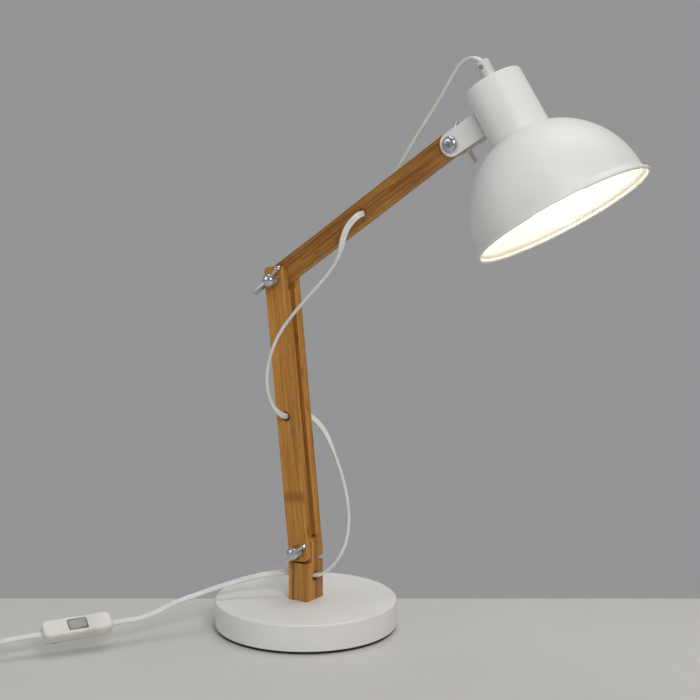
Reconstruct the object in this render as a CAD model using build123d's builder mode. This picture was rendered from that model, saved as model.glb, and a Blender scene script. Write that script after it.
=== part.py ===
from build123d import *

import os
from math import cos, pi, radians, sin, sqrt, tan

# Desk lamp with a round weighted base, a post, a twin-slat lower arm, a bar upper arm
# and a spun metal head. Millimetres, +Z up. The origin is the centre of the base on the
# table. The arms swing in the XZ plane, every pivot bolt runs along Y, and the shade
# leans out toward +X.

# Base
BASE_RADIUS = 80.0
BASE_HEIGHT = 26.0
BASE_EDGE_RADIUS = 2.4
COVER_WALL = 1.2
PAD_THICKNESS = 2.7
PAD_INSET = 1.5
PAD_HOLE_RADIUS = 9.0
WEIGHT_THICKNESS = 12.0
WEIGHT_BOSS_RADIUS = 22.0
WEIGHT_GROOVE_DEPTH = 1.5
WEIGHT_GAP = 0.3

# Post
POST_WIDTH = 20.0
SHOULDER_HEIGHT = 60.0
POST_EDGE = 0.5
TONGUE_THICKNESS = 10.4
TONGUE_TOP_RISE = 10.8
TONGUE_CORNER_RADIUS = 4.0
CORD_HOLE_DIAMETER = 9.0
POST_CORD_HEIGHT = 47.2
POST_BOLT_DIAMETER = 8.0
POST_BOLT_HEAD_DIAMETER = 13.0
POST_BOLT_HEAD_HEIGHT = 8.0
POST_BOLT_DEPTH = 13.0
INSERT_DIAMETER = 12.0
INSERT_LENGTH = 14.0
DOWEL_DIAMETER = 3.0
DOWEL_LENGTH = 12.0
DOWEL_OFFSET = 9.0

# Arms: angles are measured up from +X in the swing plane
FOOT_PIVOT_HEIGHT = 70.4
LOWER_ARM_ANGLE = 95.7
LOWER_ARM_LENGTH = 239.3
UPPER_ARM_ANGLE = 35.3
UPPER_ARM_LENGTH = 210.3
SLAT_WIDTH = 19.6
SLAT_THICKNESS = 9.4
SLAT_GAP = 6.0
SLAT_END_THICKNESS = 7.0
SLAT_FOOT_OVERHANG = 8.8
SLAT_HEAD_OVERHANG = 11.0
SLAT_FOOT_REBATE = 12.2
SLAT_HEAD_REBATE = 10.3
SLAT_FOOT_CORNER = 4.0
SLAT_HEAD_CORNER = 5.0
SLAT_CORD_SHARE = 0.5
BAR_WIDTH = 19.2
BAR_THICKNESS = 10.4
BAR_RISE = 1.5
BAR_CORD_SHARE = 0.5
WOOD_EDGE = 0.5

# Pivot hardware
BOLT_DIAMETER = 6.0
BOLT_HEAD_DIAMETER = 13.5
BOLT_HEAD_HEIGHT = 4.5
BOLT_SOCKET_FLATS = 4.0
BOLT_SOCKET_DEPTH = 2.5
BOLT_TIP_INSET = 0.6
WASHER_DIAMETER = 12.8
WASHER_THICKNESS = 1.5
NUT_BASE_DIAMETER = 13.0
NUT_FRONT_DIAMETER = 11.0
NUT_HEIGHT = 9.5
NUT_EDGE_RADIUS = 1.2
WING_SPAN = 37.5
WING_THICKNESS = 2.3
WING_TIP_RADIUS = 3.3
WING_TIP_HEIGHT = 7.6
WING_ROOT_RADIUS = 3.0
WING_ROOT_HEIGHT = 4.2
FOOT_WING_ANGLE = 33.8
ELBOW_WING_ANGLE = 44.0
HEAD_WING_ANGLE = -60.0
FIT_CLEARANCE = 0.05
RUNNING_CLEARANCE = 0.08

# Head: heights are measured from the rim plane along the shade's own axis
SHADE_TILT = 32.5
PIVOT_REACH = 55.3
PIVOT_HEIGHT = 98.1
DOME_RADIUS = 71.7
DOME_CENTRE_HEIGHT = 6.0
SHEET_WALL = 0.9
FLARE_HEIGHT = 7.5
FLARE_RADIUS = 4.0
FLARE_TURN = 58.0
RIM_RADIUS = 76.3
RIM_BEAD_DIAMETER = 3.0
NECK_FOOT_RADIUS = 25.1
NECK_TOP_RADIUS = 24.2
NECK_TOP_HEIGHT = 123.0
NECK_EDGE_RADIUS = 2.0
BRACKET_GAP = 11.4
BRACKET_SHEET = 1.6
BRACKET_WIDTH = 20.0
BRACKET_BEND_RADIUS = 2.5
RIVET_DIAMETER = 3.2
RIVET_HEAD_DIAMETER = 5.6
RIVET_HEAD_HEIGHT = 1.3
RIVET_SPACING = 10.0

# Lampholder, bulb and cord clamp, on the shade's axis
HOLDER_SKIRT_RADIUS = 14.0
HOLDER_MOUTH_HEIGHT = 46.0
HOLDER_THROAT_RADIUS = 12.3
HOLDER_THROAT_DEPTH = 8.0
HOLDER_FLANGE_RADIUS = 18.0
HOLDER_FLANGE_THICKNESS = 2.0
HOLDER_TOP_DROP = 27.0
HOLDER_CROWN_RADIUS = 8.0
HOLDER_CROWN_HEIGHT = 7.0
CAP_RADIUS = 6.9
CAP_TOP_HEIGHT = 71.5
CAP_LENGTH = 22.0
CAP_CONTACT_RADIUS = 3.0
CAP_TAPER_LENGTH = 5.0
BULB_RADIUS = 22.5
BULB_CENTRE_HEIGHT = 16.1
BULB_NECK_RADIUS = 6.6
BULB_SHOULDER_HEIGHT = 34.0
BULB_GLASS_WALL = 0.8
RING_RADIUS = 21.0
RING_HEIGHT = 8.0
RING_NOTCH_COUNT = 12
RING_NOTCH_RADIUS = 1.6
NIPPLE_RADIUS = 5.0
NIPPLE_BORE_RADIUS = 3.4
NIPPLE_DEPTH = 9.0
COUPLING_FLATS = 14.0
COUPLING_LENGTH = 18.0
CLAMP_RADIUS = 5.6
CLAMP_HEIGHT = 18.0
CLAMP_SHANK_LENGTH = 10.0
CLAMP_SCREW_DROP = 5.2
CLAMP_SCREW_DIAMETER = 4.0
CLAMP_SCREW_PROUD = 0.8
CLAMP_SLOT_WIDTH = 0.8
CORE_TAIL = 5.0

# Cord: the real one is a flat twin flex of about this mean diameter
CORD_DIAMETER = 4.6
CORD_STUB_DEPTH = 6.0
CORD_EXIT_RISE = 1.5
CORD_STRAIGHT = 9.0

# Inline switch
SWITCH_RIGHT_END = (-108.0, -136.0, 20.0)
SWITCH_LEFT_END = (-141.0, -188.0, 18.0)
SWITCH_ROLL = 36.0
SWITCH_WIDTH = 19.0
SWITCH_HALF_HEIGHT = 7.5
SWITCH_CORNER_RADIUS = 4.5
SWITCH_EDGE_RADIUS = 2.2
SWITCH_WALL = 1.8
SWITCH_BOSS_DIAMETER = 6.4
SWITCH_SCREW_DIAMETER = 2.9
SWITCH_SCREW_HEAD = 5.2
SWITCH_SCREW_OFFSET = 21.0
SWITCH_SCREW_SIDE = 4.6
SWITCH_SCREW_GRIP = 4.5
SWITCH_HEAD_RECESS = 2.4
ROCKER_LENGTH = 16.6
ROCKER_WIDTH = 10.0
ROCKER_PIVOT_HEIGHT = 5.8
ROCKER_TILT = 6.0
ROCKER_DEPTH = 2.6
ROCKER_GAP = 0.45
ROCKER_CHEEK = 1.8
ROCKER_PIN_DIAMETER = 2.0
ROCKER_PIN_LENGTH = 1.2

# Stored coil and its tie: the start angle is where the cord comes in, seen from above
COIL_CENTRE = (-219.5, -227.5)
COIL_ANGLE = -46.5
COIL_HEIGHT = 3.7
COIL_OUTER_RADIUS = 36.0
COIL_EXIT_RADIUS = 40.0
COIL_PITCH = 5.2
COIL_LAYER_RISE = 5.1
COIL_HALF_TURNS = 8
TIE_WIDTH = 5.0
TIE_THICKNESS = 0.7
TIE_GAP = 0.6
TIE_CORNER = 2.0

# Plug: a flat two-pin plug of the common 2.5 A pattern
PLUG_SLEEVE_LENGTH = 36.0
PLUG_SLEEVE_RADIUS = 4.6
PLUG_SLEEVE_TIP_RADIUS = 3.2
PLUG_LENGTH = 34.0
PLUG_WIDTH = 35.3
PLUG_THICKNESS = 13.7
PLUG_BACK_WIDTH = 15.0
PLUG_GRIP_SHARE = 0.45
PLUG_FACE_DEPTH = 6.0
PLUG_EDGE_RADIUS = 3.0
PIN_DIAMETER = 4.0
PIN_LENGTH = 19.0
PIN_SPACING = 18.6

os.makedirs("parts", exist_ok=True)


def swing_direction(angle: float) -> Vector:
    """Unit vector in the swing plane, at an angle up from +X."""
    return Vector(cos(radians(angle)), 0, sin(radians(angle)))


# Shared places: the slats' outer faces line up with the post's sides
FRONT = Vector(0, -1, 0)
POST_DEPTH = 2 * SLAT_THICKNESS + SLAT_GAP
SIDE_FACE = POST_DEPTH / 2
FOOT_PIVOT = Vector(0, 0, FOOT_PIVOT_HEIGHT)
ELBOW_PIVOT = FOOT_PIVOT + swing_direction(LOWER_ARM_ANGLE) * LOWER_ARM_LENGTH
HEAD_PIVOT = ELBOW_PIVOT + swing_direction(UPPER_ARM_ANGLE) * UPPER_ARM_LENGTH
SHADE_AXIS = swing_direction(90 + SHADE_TILT)
SHADE_ACROSS = swing_direction(SHADE_TILT)
RIM_CENTRE = HEAD_PIVOT + SHADE_ACROSS * PIVOT_REACH - SHADE_AXIS * PIVOT_HEIGHT

# Working planes: each arm's plane runs along the arm, with its normal toward the front
lower_arm_plane = Plane(FOOT_PIVOT, x_dir=swing_direction(LOWER_ARM_ANGLE), z_dir=FRONT)
upper_arm_plane = Plane(ELBOW_PIVOT, x_dir=swing_direction(UPPER_ARM_ANGLE), z_dir=FRONT)
shade_section = Plane(RIM_CENTRE, x_dir=SHADE_ACROSS, z_dir=FRONT)
shade_axis_line = Axis(RIM_CENTRE, SHADE_AXIS)


def shade_level(height: float) -> Plane:
    """Plane square to the shade's axis, at a height above the rim plane."""
    return Plane(RIM_CENTRE + SHADE_AXIS * height, x_dir=SHADE_ACROSS, z_dir=SHADE_AXIS)


def facing(pivot: Vector, distance: float, side: Vector, x_dir: Vector) -> Plane:
    """Plane square to a pivot bolt, on one side of the arms and looking outward."""
    return Plane(pivot + side * distance, x_dir=x_dir, z_dir=side)


# Base pad: the soft disc that the lamp stands on, open in the middle for the bolt
with BuildPart() as base_pad:
    with BuildSketch():
        Circle(BASE_RADIUS - PAD_INSET)
        Circle(PAD_HOLE_RADIUS, mode=Mode.SUBTRACT)
    extrude(amount=PAD_THICKNESS)
base_pad.part.label = "base_pad"
export_step(base_pad.part, "parts/base_pad.step")

# Base cover: a spun steel dish with a rounded top edge, open underneath
with BuildPart() as base_cover:
    with BuildSketch(Plane.XY.offset(PAD_THICKNESS)):
        Circle(BASE_RADIUS)
    extrude(amount=BASE_HEIGHT - PAD_THICKNESS)
    fillet(base_cover.edges().sort_by(Axis.Z)[-1], BASE_EDGE_RADIUS)
    offset(amount=-COVER_WALL, openings=base_cover.faces().sort_by(Axis.Z)[0])
    with Locations((0, 0, BASE_HEIGHT)):
        Hole(POST_BOLT_DIAMETER / 2 + FIT_CLEARANCE, depth=2 * COVER_WALL)
    with Locations((0, DOWEL_OFFSET, BASE_HEIGHT)):
        Hole(DOWEL_DIAMETER / 2 + FIT_CLEARANCE, depth=2 * COVER_WALL)
base_cover.part.label = "base_cover"
export_step(base_cover.part, "parts/base_cover.step")

# Base weight: a cast iron disc whose boss carries the cover's top
WEIGHT_TOP = BASE_HEIGHT - COVER_WALL
WEIGHT_RADIUS = BASE_RADIUS - COVER_WALL - WEIGHT_GAP
BOLT_HEAD_TOP = PAD_THICKNESS + POST_BOLT_HEAD_HEIGHT
with BuildPart() as base_weight:
    with BuildSketch(Plane.XZ):
        with BuildLine():
            Polyline(
                (0, PAD_THICKNESS),
                (WEIGHT_RADIUS, PAD_THICKNESS),
                (WEIGHT_RADIUS - 1, PAD_THICKNESS + WEIGHT_THICKNESS),
                (WEIGHT_BOSS_RADIUS + 12, PAD_THICKNESS + WEIGHT_THICKNESS),
                (WEIGHT_BOSS_RADIUS + 10, PAD_THICKNESS + WEIGHT_THICKNESS - WEIGHT_GROOVE_DEPTH),
                (WEIGHT_BOSS_RADIUS + 4, PAD_THICKNESS + WEIGHT_THICKNESS - WEIGHT_GROOVE_DEPTH),
                (WEIGHT_BOSS_RADIUS, WEIGHT_TOP),
                (0, WEIGHT_TOP),
                close=True,
            )
        make_face()
    revolve(axis=Axis.Z)
    with Locations((0, 0, WEIGHT_TOP)):
        Hole(POST_BOLT_DIAMETER / 2 + FIT_CLEARANCE)
    with Locations((0, DOWEL_OFFSET, WEIGHT_TOP)):
        Hole(DOWEL_DIAMETER / 2 + FIT_CLEARANCE, depth=DOWEL_LENGTH / 2)
    with Locations(Location((0, 0, PAD_THICKNESS), (180, 0, 0))):
        Hole(POST_BOLT_HEAD_DIAMETER / 2 + WEIGHT_GAP, depth=POST_BOLT_HEAD_HEIGHT)
base_weight.part.label = "base_weight"
export_step(base_weight.part, "parts/base_weight.step")

# Post: a laminated block with a thin tongue between the slats
POST_TOP = FOOT_PIVOT_HEIGHT + TONGUE_TOP_RISE
BOLT_TIP_HEIGHT = BASE_HEIGHT + POST_BOLT_DEPTH
with BuildPart() as post:
    with BuildSketch(Plane.XY.offset(BASE_HEIGHT)):
        Rectangle(POST_WIDTH, POST_DEPTH)
    extrude(amount=SHOULDER_HEIGHT - BASE_HEIGHT)
    fillet(post.edges().filter_by(Axis.Z), POST_EDGE)
    with BuildSketch(Plane.XZ) as tongue:
        with Locations((0, POST_TOP)):
            Rectangle(POST_WIDTH, POST_TOP - SHOULDER_HEIGHT, align=(Align.CENTER, Align.MAX))
        fillet(tongue.vertices().group_by(Axis.Y)[-1], TONGUE_CORNER_RADIUS)
    extrude(amount=TONGUE_THICKNESS / 2, both=True)
    with BuildSketch(Plane.XZ):
        with Locations((0, FOOT_PIVOT_HEIGHT)):
            Circle(BOLT_DIAMETER / 2 + RUNNING_CLEARANCE)
    extrude(amount=TONGUE_THICKNESS, both=True, mode=Mode.SUBTRACT)
    with BuildSketch(Plane.YZ):
        with Locations((0, POST_CORD_HEIGHT)):
            Circle(CORD_HOLE_DIAMETER / 2)
    extrude(amount=POST_WIDTH, both=True, mode=Mode.SUBTRACT)
    with BuildSketch(Plane.XY.offset(BASE_HEIGHT)):
        Circle(INSERT_DIAMETER / 2 + FIT_CLEARANCE)
        with Locations((0, DOWEL_OFFSET)):
            Circle(DOWEL_DIAMETER / 2 + FIT_CLEARANCE)
    extrude(amount=INSERT_LENGTH, mode=Mode.SUBTRACT)
post.part.label = "post"
export_step(post.part, "parts/post.step")

# Post fastening: a socket screw from below, a threaded insert and a locating dowel
with BuildPart() as post_bolt:
    with BuildSketch(Plane.XY.offset(PAD_THICKNESS)):
        Circle(POST_BOLT_HEAD_DIAMETER / 2)
        RegularPolygon(POST_BOLT_DIAMETER * 0.4, 6, mode=Mode.SUBTRACT)
    extrude(amount=POST_BOLT_HEAD_HEIGHT / 2)
    with BuildSketch(Plane.XY.offset(PAD_THICKNESS + POST_BOLT_HEAD_HEIGHT / 2)):
        Circle(POST_BOLT_HEAD_DIAMETER / 2)
    extrude(amount=POST_BOLT_HEAD_HEIGHT / 2)
    with BuildSketch(Plane.XY.offset(BOLT_HEAD_TOP)):
        Circle(POST_BOLT_DIAMETER / 2)
    extrude(amount=BOLT_TIP_HEIGHT - BOLT_HEAD_TOP)
post_bolt.part.label = "post_bolt"
export_step(post_bolt.part, "parts/post_bolt.step")

with BuildPart() as post_insert:
    with BuildSketch(Plane.XY.offset(BASE_HEIGHT)):
        Circle(INSERT_DIAMETER / 2)
        Circle(POST_BOLT_DIAMETER / 2 + FIT_CLEARANCE, mode=Mode.SUBTRACT)
    extrude(amount=INSERT_LENGTH)
post_insert.part.label = "post_insert"
export_step(post_insert.part, "parts/post_insert.step")

with BuildPart() as post_dowel:
    with BuildSketch(Plane.XY.offset(WEIGHT_TOP - DOWEL_LENGTH / 2)):
        with Locations((0, DOWEL_OFFSET)):
            Circle(DOWEL_DIAMETER / 2)
    extrude(amount=DOWEL_LENGTH)
post_dowel.part.label = "post_dowel"
export_step(post_dowel.part, "parts/post_dowel.step")


def slat(front_side: bool) -> BuildPart:
    """One lower arm slat: rebated inside at both ends, with rounded ends."""
    side = 1 if front_side else -1
    length = LOWER_ARM_LENGTH + SLAT_HEAD_OVERHANG + SLAT_FOOT_OVERHANG
    rebate_depth = SLAT_THICKNESS - SLAT_END_THICKNESS
    inner_face = lower_arm_plane.offset(side * SLAT_GAP / 2)
    with BuildPart() as piece:
        with BuildSketch(inner_face) as outline:
            with Locations((-SLAT_FOOT_OVERHANG, 0)):
                Rectangle(length, SLAT_WIDTH, align=(Align.MIN, Align.CENTER))
            fillet(outline.vertices().group_by(Axis.X)[0], SLAT_FOOT_CORNER)
            fillet(outline.vertices().group_by(Axis.X)[-1], SLAT_HEAD_CORNER)
        extrude(amount=side * SLAT_THICKNESS)
        with BuildSketch(inner_face):
            with Locations((SLAT_FOOT_REBATE, 0)):
                Rectangle(length, 2 * SLAT_WIDTH, align=(Align.MAX, Align.CENTER))
            with Locations((LOWER_ARM_LENGTH - SLAT_HEAD_REBATE, 0)):
                Rectangle(length, 2 * SLAT_WIDTH, align=(Align.MIN, Align.CENTER))
        extrude(amount=side * rebate_depth, mode=Mode.SUBTRACT)
        with BuildSketch(inner_face):
            with Locations((0, 0), (LOWER_ARM_LENGTH, 0)):
                Circle(BOLT_DIAMETER / 2 + FIT_CLEARANCE)
            with Locations((LOWER_ARM_LENGTH * SLAT_CORD_SHARE, 0)):
                Circle(CORD_HOLE_DIAMETER / 2)
        extrude(amount=side * SLAT_THICKNESS, mode=Mode.SUBTRACT)
        outer_face = piece.faces().filter_by(Axis.Y).sort_by(Axis.Y)[0 if front_side else -1]
        fillet(outer_face.outer_wire().edges(), WOOD_EDGE)
    return piece


slat_front = slat(front_side=True)
slat_front.part.label = "slat_front"
export_step(slat_front.part, "parts/slat_front.step")
slat_back = slat(front_side=False)
slat_back.part.label = "slat_back"
export_step(slat_back.part, "parts/slat_back.step")

# Upper arm: one bar whose bolt holes lie a little below its middle line
with BuildPart() as upper_arm:
    with BuildSketch(upper_arm_plane):
        with Locations((UPPER_ARM_LENGTH / 2, BAR_RISE)):
            SlotOverall(UPPER_ARM_LENGTH + BAR_WIDTH, BAR_WIDTH)
        with Locations((0, 0), (UPPER_ARM_LENGTH, 0)):
            Circle(BOLT_DIAMETER / 2 + RUNNING_CLEARANCE, mode=Mode.SUBTRACT)
        with Locations((UPPER_ARM_LENGTH * BAR_CORD_SHARE, 0)):
            Circle(CORD_HOLE_DIAMETER / 2, mode=Mode.SUBTRACT)
    extrude(amount=BAR_THICKNESS / 2, both=True)
    for bar_face in upper_arm.faces().filter_by(Axis.Y):
        fillet(bar_face.outer_wire().edges(), WOOD_EDGE)
upper_arm.part.label = "upper_arm"
export_step(upper_arm.part, "parts/upper_arm.step")


def wing_nut(base: Plane) -> BuildPart:
    """A wing nut standing on a plane, with its wings along the plane's X."""
    wing_plane = Plane(base.origin, x_dir=base.x_dir, z_dir=-base.y_dir)
    with BuildPart() as nut:
        with BuildSketch(wing_plane):
            with BuildLine():
                Polyline(
                    (BOLT_DIAMETER / 2 + FIT_CLEARANCE, 0),
                    (NUT_BASE_DIAMETER / 2, 0),
                    (NUT_FRONT_DIAMETER / 2, NUT_HEIGHT - NUT_EDGE_RADIUS),
                    (NUT_FRONT_DIAMETER / 2 - NUT_EDGE_RADIUS, NUT_HEIGHT),
                    (BOLT_DIAMETER / 2 + FIT_CLEARANCE, NUT_HEIGHT),
                    close=True,
                )
            make_face()
        revolve(axis=Axis(base.origin, base.z_dir))
        for side in (-1, 1):
            with BuildSketch(wing_plane):
                with Locations((side * (WING_SPAN / 2 - WING_TIP_RADIUS), WING_TIP_HEIGHT)):
                    Circle(WING_TIP_RADIUS)
                with Locations((side * NUT_FRONT_DIAMETER / 2, WING_ROOT_HEIGHT)):
                    Circle(WING_ROOT_RADIUS)
                make_hull()
            extrude(amount=WING_THICKNESS / 2, both=True)
        with BuildSketch(base):
            Circle(BOLT_DIAMETER / 2 + FIT_CLEARANCE)
        extrude(amount=NUT_HEIGHT, mode=Mode.SUBTRACT)
    return nut


def pivot_bolt(head: Plane, reach: float) -> BuildPart:
    """A button head bolt: the head stands on the plane, the shank runs back from it."""
    with BuildPart() as bolt:
        with BuildSketch(head):
            Circle(BOLT_HEAD_DIAMETER / 2)
        extrude(amount=BOLT_HEAD_HEIGHT)
        crown = bolt.edges().filter_by(GeomType.CIRCLE).sort_by(Axis(head.origin, head.z_dir))[-1]
        fillet(crown, BOLT_HEAD_HEIGHT * 0.85)
        with BuildSketch(head.offset(BOLT_HEAD_HEIGHT)):
            RegularPolygon(BOLT_SOCKET_FLATS / 2, 6, major_radius=False)
        extrude(amount=-BOLT_SOCKET_DEPTH, mode=Mode.SUBTRACT)
        with BuildSketch(head):
            Circle(BOLT_DIAMETER / 2)
        extrude(amount=-reach)
    return bolt


def washers(planes: list[Plane]) -> BuildPart:
    """Plain washers, one standing on each plane."""
    with BuildPart() as rings:
        for plane in planes:
            with BuildSketch(plane):
                Circle(WASHER_DIAMETER / 2)
                Circle(BOLT_DIAMETER / 2 + FIT_CLEARANCE, mode=Mode.SUBTRACT)
            extrude(amount=WASHER_THICKNESS)
    return rings


# Foot and elbow hardware: heads at the back, wing nuts at the front
BACK = -FRONT
UP = Vector(0, 0, 1)
NUT_SEAT = SIDE_FACE + WASHER_THICKNESS
ARM_BOLT_REACH = 2 * NUT_SEAT + NUT_HEIGHT - BOLT_TIP_INSET

foot_bolt = pivot_bolt(facing(FOOT_PIVOT, NUT_SEAT, BACK, UP), ARM_BOLT_REACH)
foot_bolt.part.label = "foot_bolt"
export_step(foot_bolt.part, "parts/foot_bolt.step")

elbow_bolt = pivot_bolt(facing(ELBOW_PIVOT, NUT_SEAT, BACK, UP), ARM_BOLT_REACH)
elbow_bolt.part.label = "elbow_bolt"
export_step(elbow_bolt.part, "parts/elbow_bolt.step")

arm_washers = washers(
    [
        facing(FOOT_PIVOT, SIDE_FACE, FRONT, UP),
        facing(FOOT_PIVOT, SIDE_FACE, BACK, UP),
        facing(ELBOW_PIVOT, SIDE_FACE, FRONT, UP),
        facing(ELBOW_PIVOT, SIDE_FACE, BACK, UP),
    ]
)
arm_washers.part.label = "arm_washers"
export_step(arm_washers.part, "parts/arm_washers.step")

foot_wing_nut = wing_nut(facing(FOOT_PIVOT, NUT_SEAT, FRONT, swing_direction(FOOT_WING_ANGLE)))
foot_wing_nut.part.label = "foot_wing_nut"
export_step(foot_wing_nut.part, "parts/foot_wing_nut.step")

elbow_wing_nut = wing_nut(facing(ELBOW_PIVOT, NUT_SEAT, FRONT, swing_direction(ELBOW_WING_ANGLE)))
elbow_wing_nut.part.label = "elbow_wing_nut"
export_step(elbow_wing_nut.part, "parts/elbow_wing_nut.step")

# Head hardware: head at the front, wing nut at the back
CHEEK_FACE = BRACKET_GAP / 2 + BRACKET_SHEET
HEAD_NUT_SEAT = CHEEK_FACE + WASHER_THICKNESS
HEAD_BOLT_REACH = CHEEK_FACE + HEAD_NUT_SEAT + NUT_HEIGHT - BOLT_TIP_INSET

head_bolt = pivot_bolt(facing(HEAD_PIVOT, CHEEK_FACE, FRONT, UP), HEAD_BOLT_REACH)
head_bolt.part.label = "head_bolt"
export_step(head_bolt.part, "parts/head_bolt.step")

head_washer = washers([facing(HEAD_PIVOT, CHEEK_FACE, BACK, UP)])
head_washer.part.label = "head_washer"
export_step(head_washer.part, "parts/head_washer.step")

head_wing_nut = wing_nut(facing(HEAD_PIVOT, HEAD_NUT_SEAT, BACK, swing_direction(HEAD_WING_ANGLE)))
head_wing_nut.part.label = "head_wing_nut"
export_step(head_wing_nut.part, "parts/head_wing_nut.step")


def neck_radius(height: float) -> float:
    """Outer radius of the tapered neck at a height above the rim plane."""
    share = (height - NECK_FOOT_HEIGHT) / (NECK_TOP_HEIGHT - NECK_FOOT_HEIGHT)
    return NECK_FOOT_RADIUS + (NECK_TOP_RADIUS - NECK_FOOT_RADIUS) * share


# Shade: a spun dome with a flat land under the neck, a flared mouth and a rolled rim
NECK_FOOT_HEIGHT = DOME_CENTRE_HEIGHT + sqrt(DOME_RADIUS**2 - NECK_FOOT_RADIUS**2)
HOLDER_HOLE_RADIUS = HOLDER_SKIRT_RADIUS + 2 * FIT_CLEARANCE
FLARE_START = sqrt(DOME_RADIUS**2 - (FLARE_HEIGHT - DOME_CENTRE_HEIGHT) ** 2)
INNER_START = sqrt((DOME_RADIUS - SHEET_WALL) ** 2 - (FLARE_HEIGHT - DOME_CENTRE_HEIGHT) ** 2)
LAND_RISE = NECK_FOOT_HEIGHT - SHEET_WALL - DOME_CENTRE_HEIGHT
INNER_LAND = sqrt((DOME_RADIUS - SHEET_WALL) ** 2 - LAND_RISE**2)
FLARE_END = FLARE_START + FLARE_RADIUS * (1 - cos(radians(FLARE_TURN)))
FLARE_DROP = FLARE_RADIUS * sin(radians(FLARE_TURN))
BEAD_CENTRE_RADIUS = RIM_RADIUS - RIM_BEAD_DIAMETER / 2
with BuildPart() as shade_dome:
    with BuildSketch(shade_section):
        with BuildLine():
            outer_land = Line((HOLDER_HOLE_RADIUS, NECK_FOOT_HEIGHT), (NECK_FOOT_RADIUS, NECK_FOOT_HEIGHT))
            outer_arc = RadiusArc(outer_land @ 1, (FLARE_START, FLARE_HEIGHT), DOME_RADIUS)
            outer_flare = TangentArc(
                outer_arc @ 1, (FLARE_END, FLARE_HEIGHT - FLARE_DROP), tangent=(0, -1)
            )
            Line(outer_flare @ 1, (BEAD_CENTRE_RADIUS, RIM_BEAD_DIAMETER / 2))
            Line(
                (BEAD_CENTRE_RADIUS, RIM_BEAD_DIAMETER / 2),
                (FLARE_END - SHEET_WALL, FLARE_HEIGHT - FLARE_DROP - SHEET_WALL / 2),
            )
            inner_flare = TangentArc(
                (INNER_START, FLARE_HEIGHT),
                (FLARE_END - SHEET_WALL, FLARE_HEIGHT - FLARE_DROP - SHEET_WALL / 2),
                tangent=(0, -1),
            )
            inner_arc = RadiusArc(
                (INNER_LAND, NECK_FOOT_HEIGHT - SHEET_WALL), inner_flare @ 0, DOME_RADIUS - SHEET_WALL
            )
            Line(inner_arc @ 0, (HOLDER_HOLE_RADIUS, NECK_FOOT_HEIGHT - SHEET_WALL))
            Line((HOLDER_HOLE_RADIUS, NECK_FOOT_HEIGHT - SHEET_WALL), outer_land @ 0)
        make_face()
        with Locations((BEAD_CENTRE_RADIUS, RIM_BEAD_DIAMETER / 2)):
            Circle(RIM_BEAD_DIAMETER / 2)
    revolve(axis=shade_axis_line)
shade_dome.part.label = "shade_dome"
export_step(shade_dome.part, "parts/shade_dome.step")

# Neck: a spun cup over the lampholder, closed on top, carrying the bracket's rivets
BRACKET_TOP = PIVOT_HEIGHT + BRACKET_WIDTH / 2
BRACKET_FOOT = PIVOT_HEIGHT - BRACKET_WIDTH / 2
WEB_FACE = neck_radius(BRACKET_FOOT) + FIT_CLEARANCE
rivet_plane = Plane(RIM_CENTRE + SHADE_AXIS * PIVOT_HEIGHT, x_dir=SHADE_AXIS, z_dir=-SHADE_ACROSS)
with BuildPart() as neck_cup:
    with BuildSketch(shade_section) as neck_profile:
        with BuildLine():
            Polyline(
                (0, NECK_FOOT_HEIGHT),
                (NECK_FOOT_RADIUS, NECK_FOOT_HEIGHT),
                (NECK_TOP_RADIUS, NECK_TOP_HEIGHT),
                (0, NECK_TOP_HEIGHT),
                close=True,
            )
        make_face()
        fillet(neck_profile.vertices().group_by(Axis.Y)[-1].sort_by(Axis.X)[-1], NECK_EDGE_RADIUS)
    revolve(axis=shade_axis_line)
    offset(amount=-SHEET_WALL, openings=neck_cup.faces().sort_by(shade_axis_line)[0])
    with BuildSketch(shade_level(NECK_TOP_HEIGHT)):
        Circle(NIPPLE_RADIUS + FIT_CLEARANCE)
    extrude(amount=-3 * SHEET_WALL, mode=Mode.SUBTRACT)
    with BuildSketch(rivet_plane):
        with GridLocations(RIVET_SPACING, 0, 2, 1):
            Circle(RIVET_DIAMETER / 2 + FIT_CLEARANCE)
    extrude(amount=NECK_FOOT_RADIUS + BRACKET_SHEET, mode=Mode.SUBTRACT)
neck_cup.part.label = "neck_cup"
export_step(neck_cup.part, "parts/neck_cup.step")

# Head bracket: a strap bent to a U, its two round-ended cheeks either side of the bar
bracket_plane = Plane(HEAD_PIVOT, x_dir=SHADE_ACROSS, z_dir=FRONT)
bracket_level = Plane(HEAD_PIVOT, x_dir=SHADE_ACROSS, z_dir=SHADE_AXIS)
WEB_REACH = PIVOT_REACH - WEB_FACE
with BuildPart() as head_bracket:
    with BuildSketch(bracket_plane):
        Rectangle(WEB_REACH, BRACKET_WIDTH, align=(Align.MIN, Align.CENTER))
        Circle(BRACKET_WIDTH / 2)
        Circle(BOLT_DIAMETER / 2 + FIT_CLEARANCE, mode=Mode.SUBTRACT)
    extrude(amount=CHEEK_FACE, both=True)
    fillet(head_bracket.edges().filter_by(shade_axis_line), BRACKET_BEND_RADIUS)
    with BuildSketch(bracket_level) as strap_inside:
        with Locations((WEB_REACH - BRACKET_SHEET, 0)):
            Rectangle(WEB_REACH + BRACKET_WIDTH, BRACKET_GAP, align=(Align.MAX, Align.CENTER))
        fillet(strap_inside.vertices().group_by(Axis.X)[-1], BRACKET_BEND_RADIUS - BRACKET_SHEET)
    extrude(amount=BRACKET_WIDTH, both=True, mode=Mode.SUBTRACT)
    with BuildSketch(rivet_plane):
        with GridLocations(RIVET_SPACING, 0, 2, 1):
            Circle(RIVET_DIAMETER / 2 + FIT_CLEARANCE)
    extrude(amount=PIVOT_REACH - BRACKET_WIDTH, mode=Mode.SUBTRACT)
head_bracket.part.label = "head_bracket"
export_step(head_bracket.part, "parts/head_bracket.step")

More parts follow.
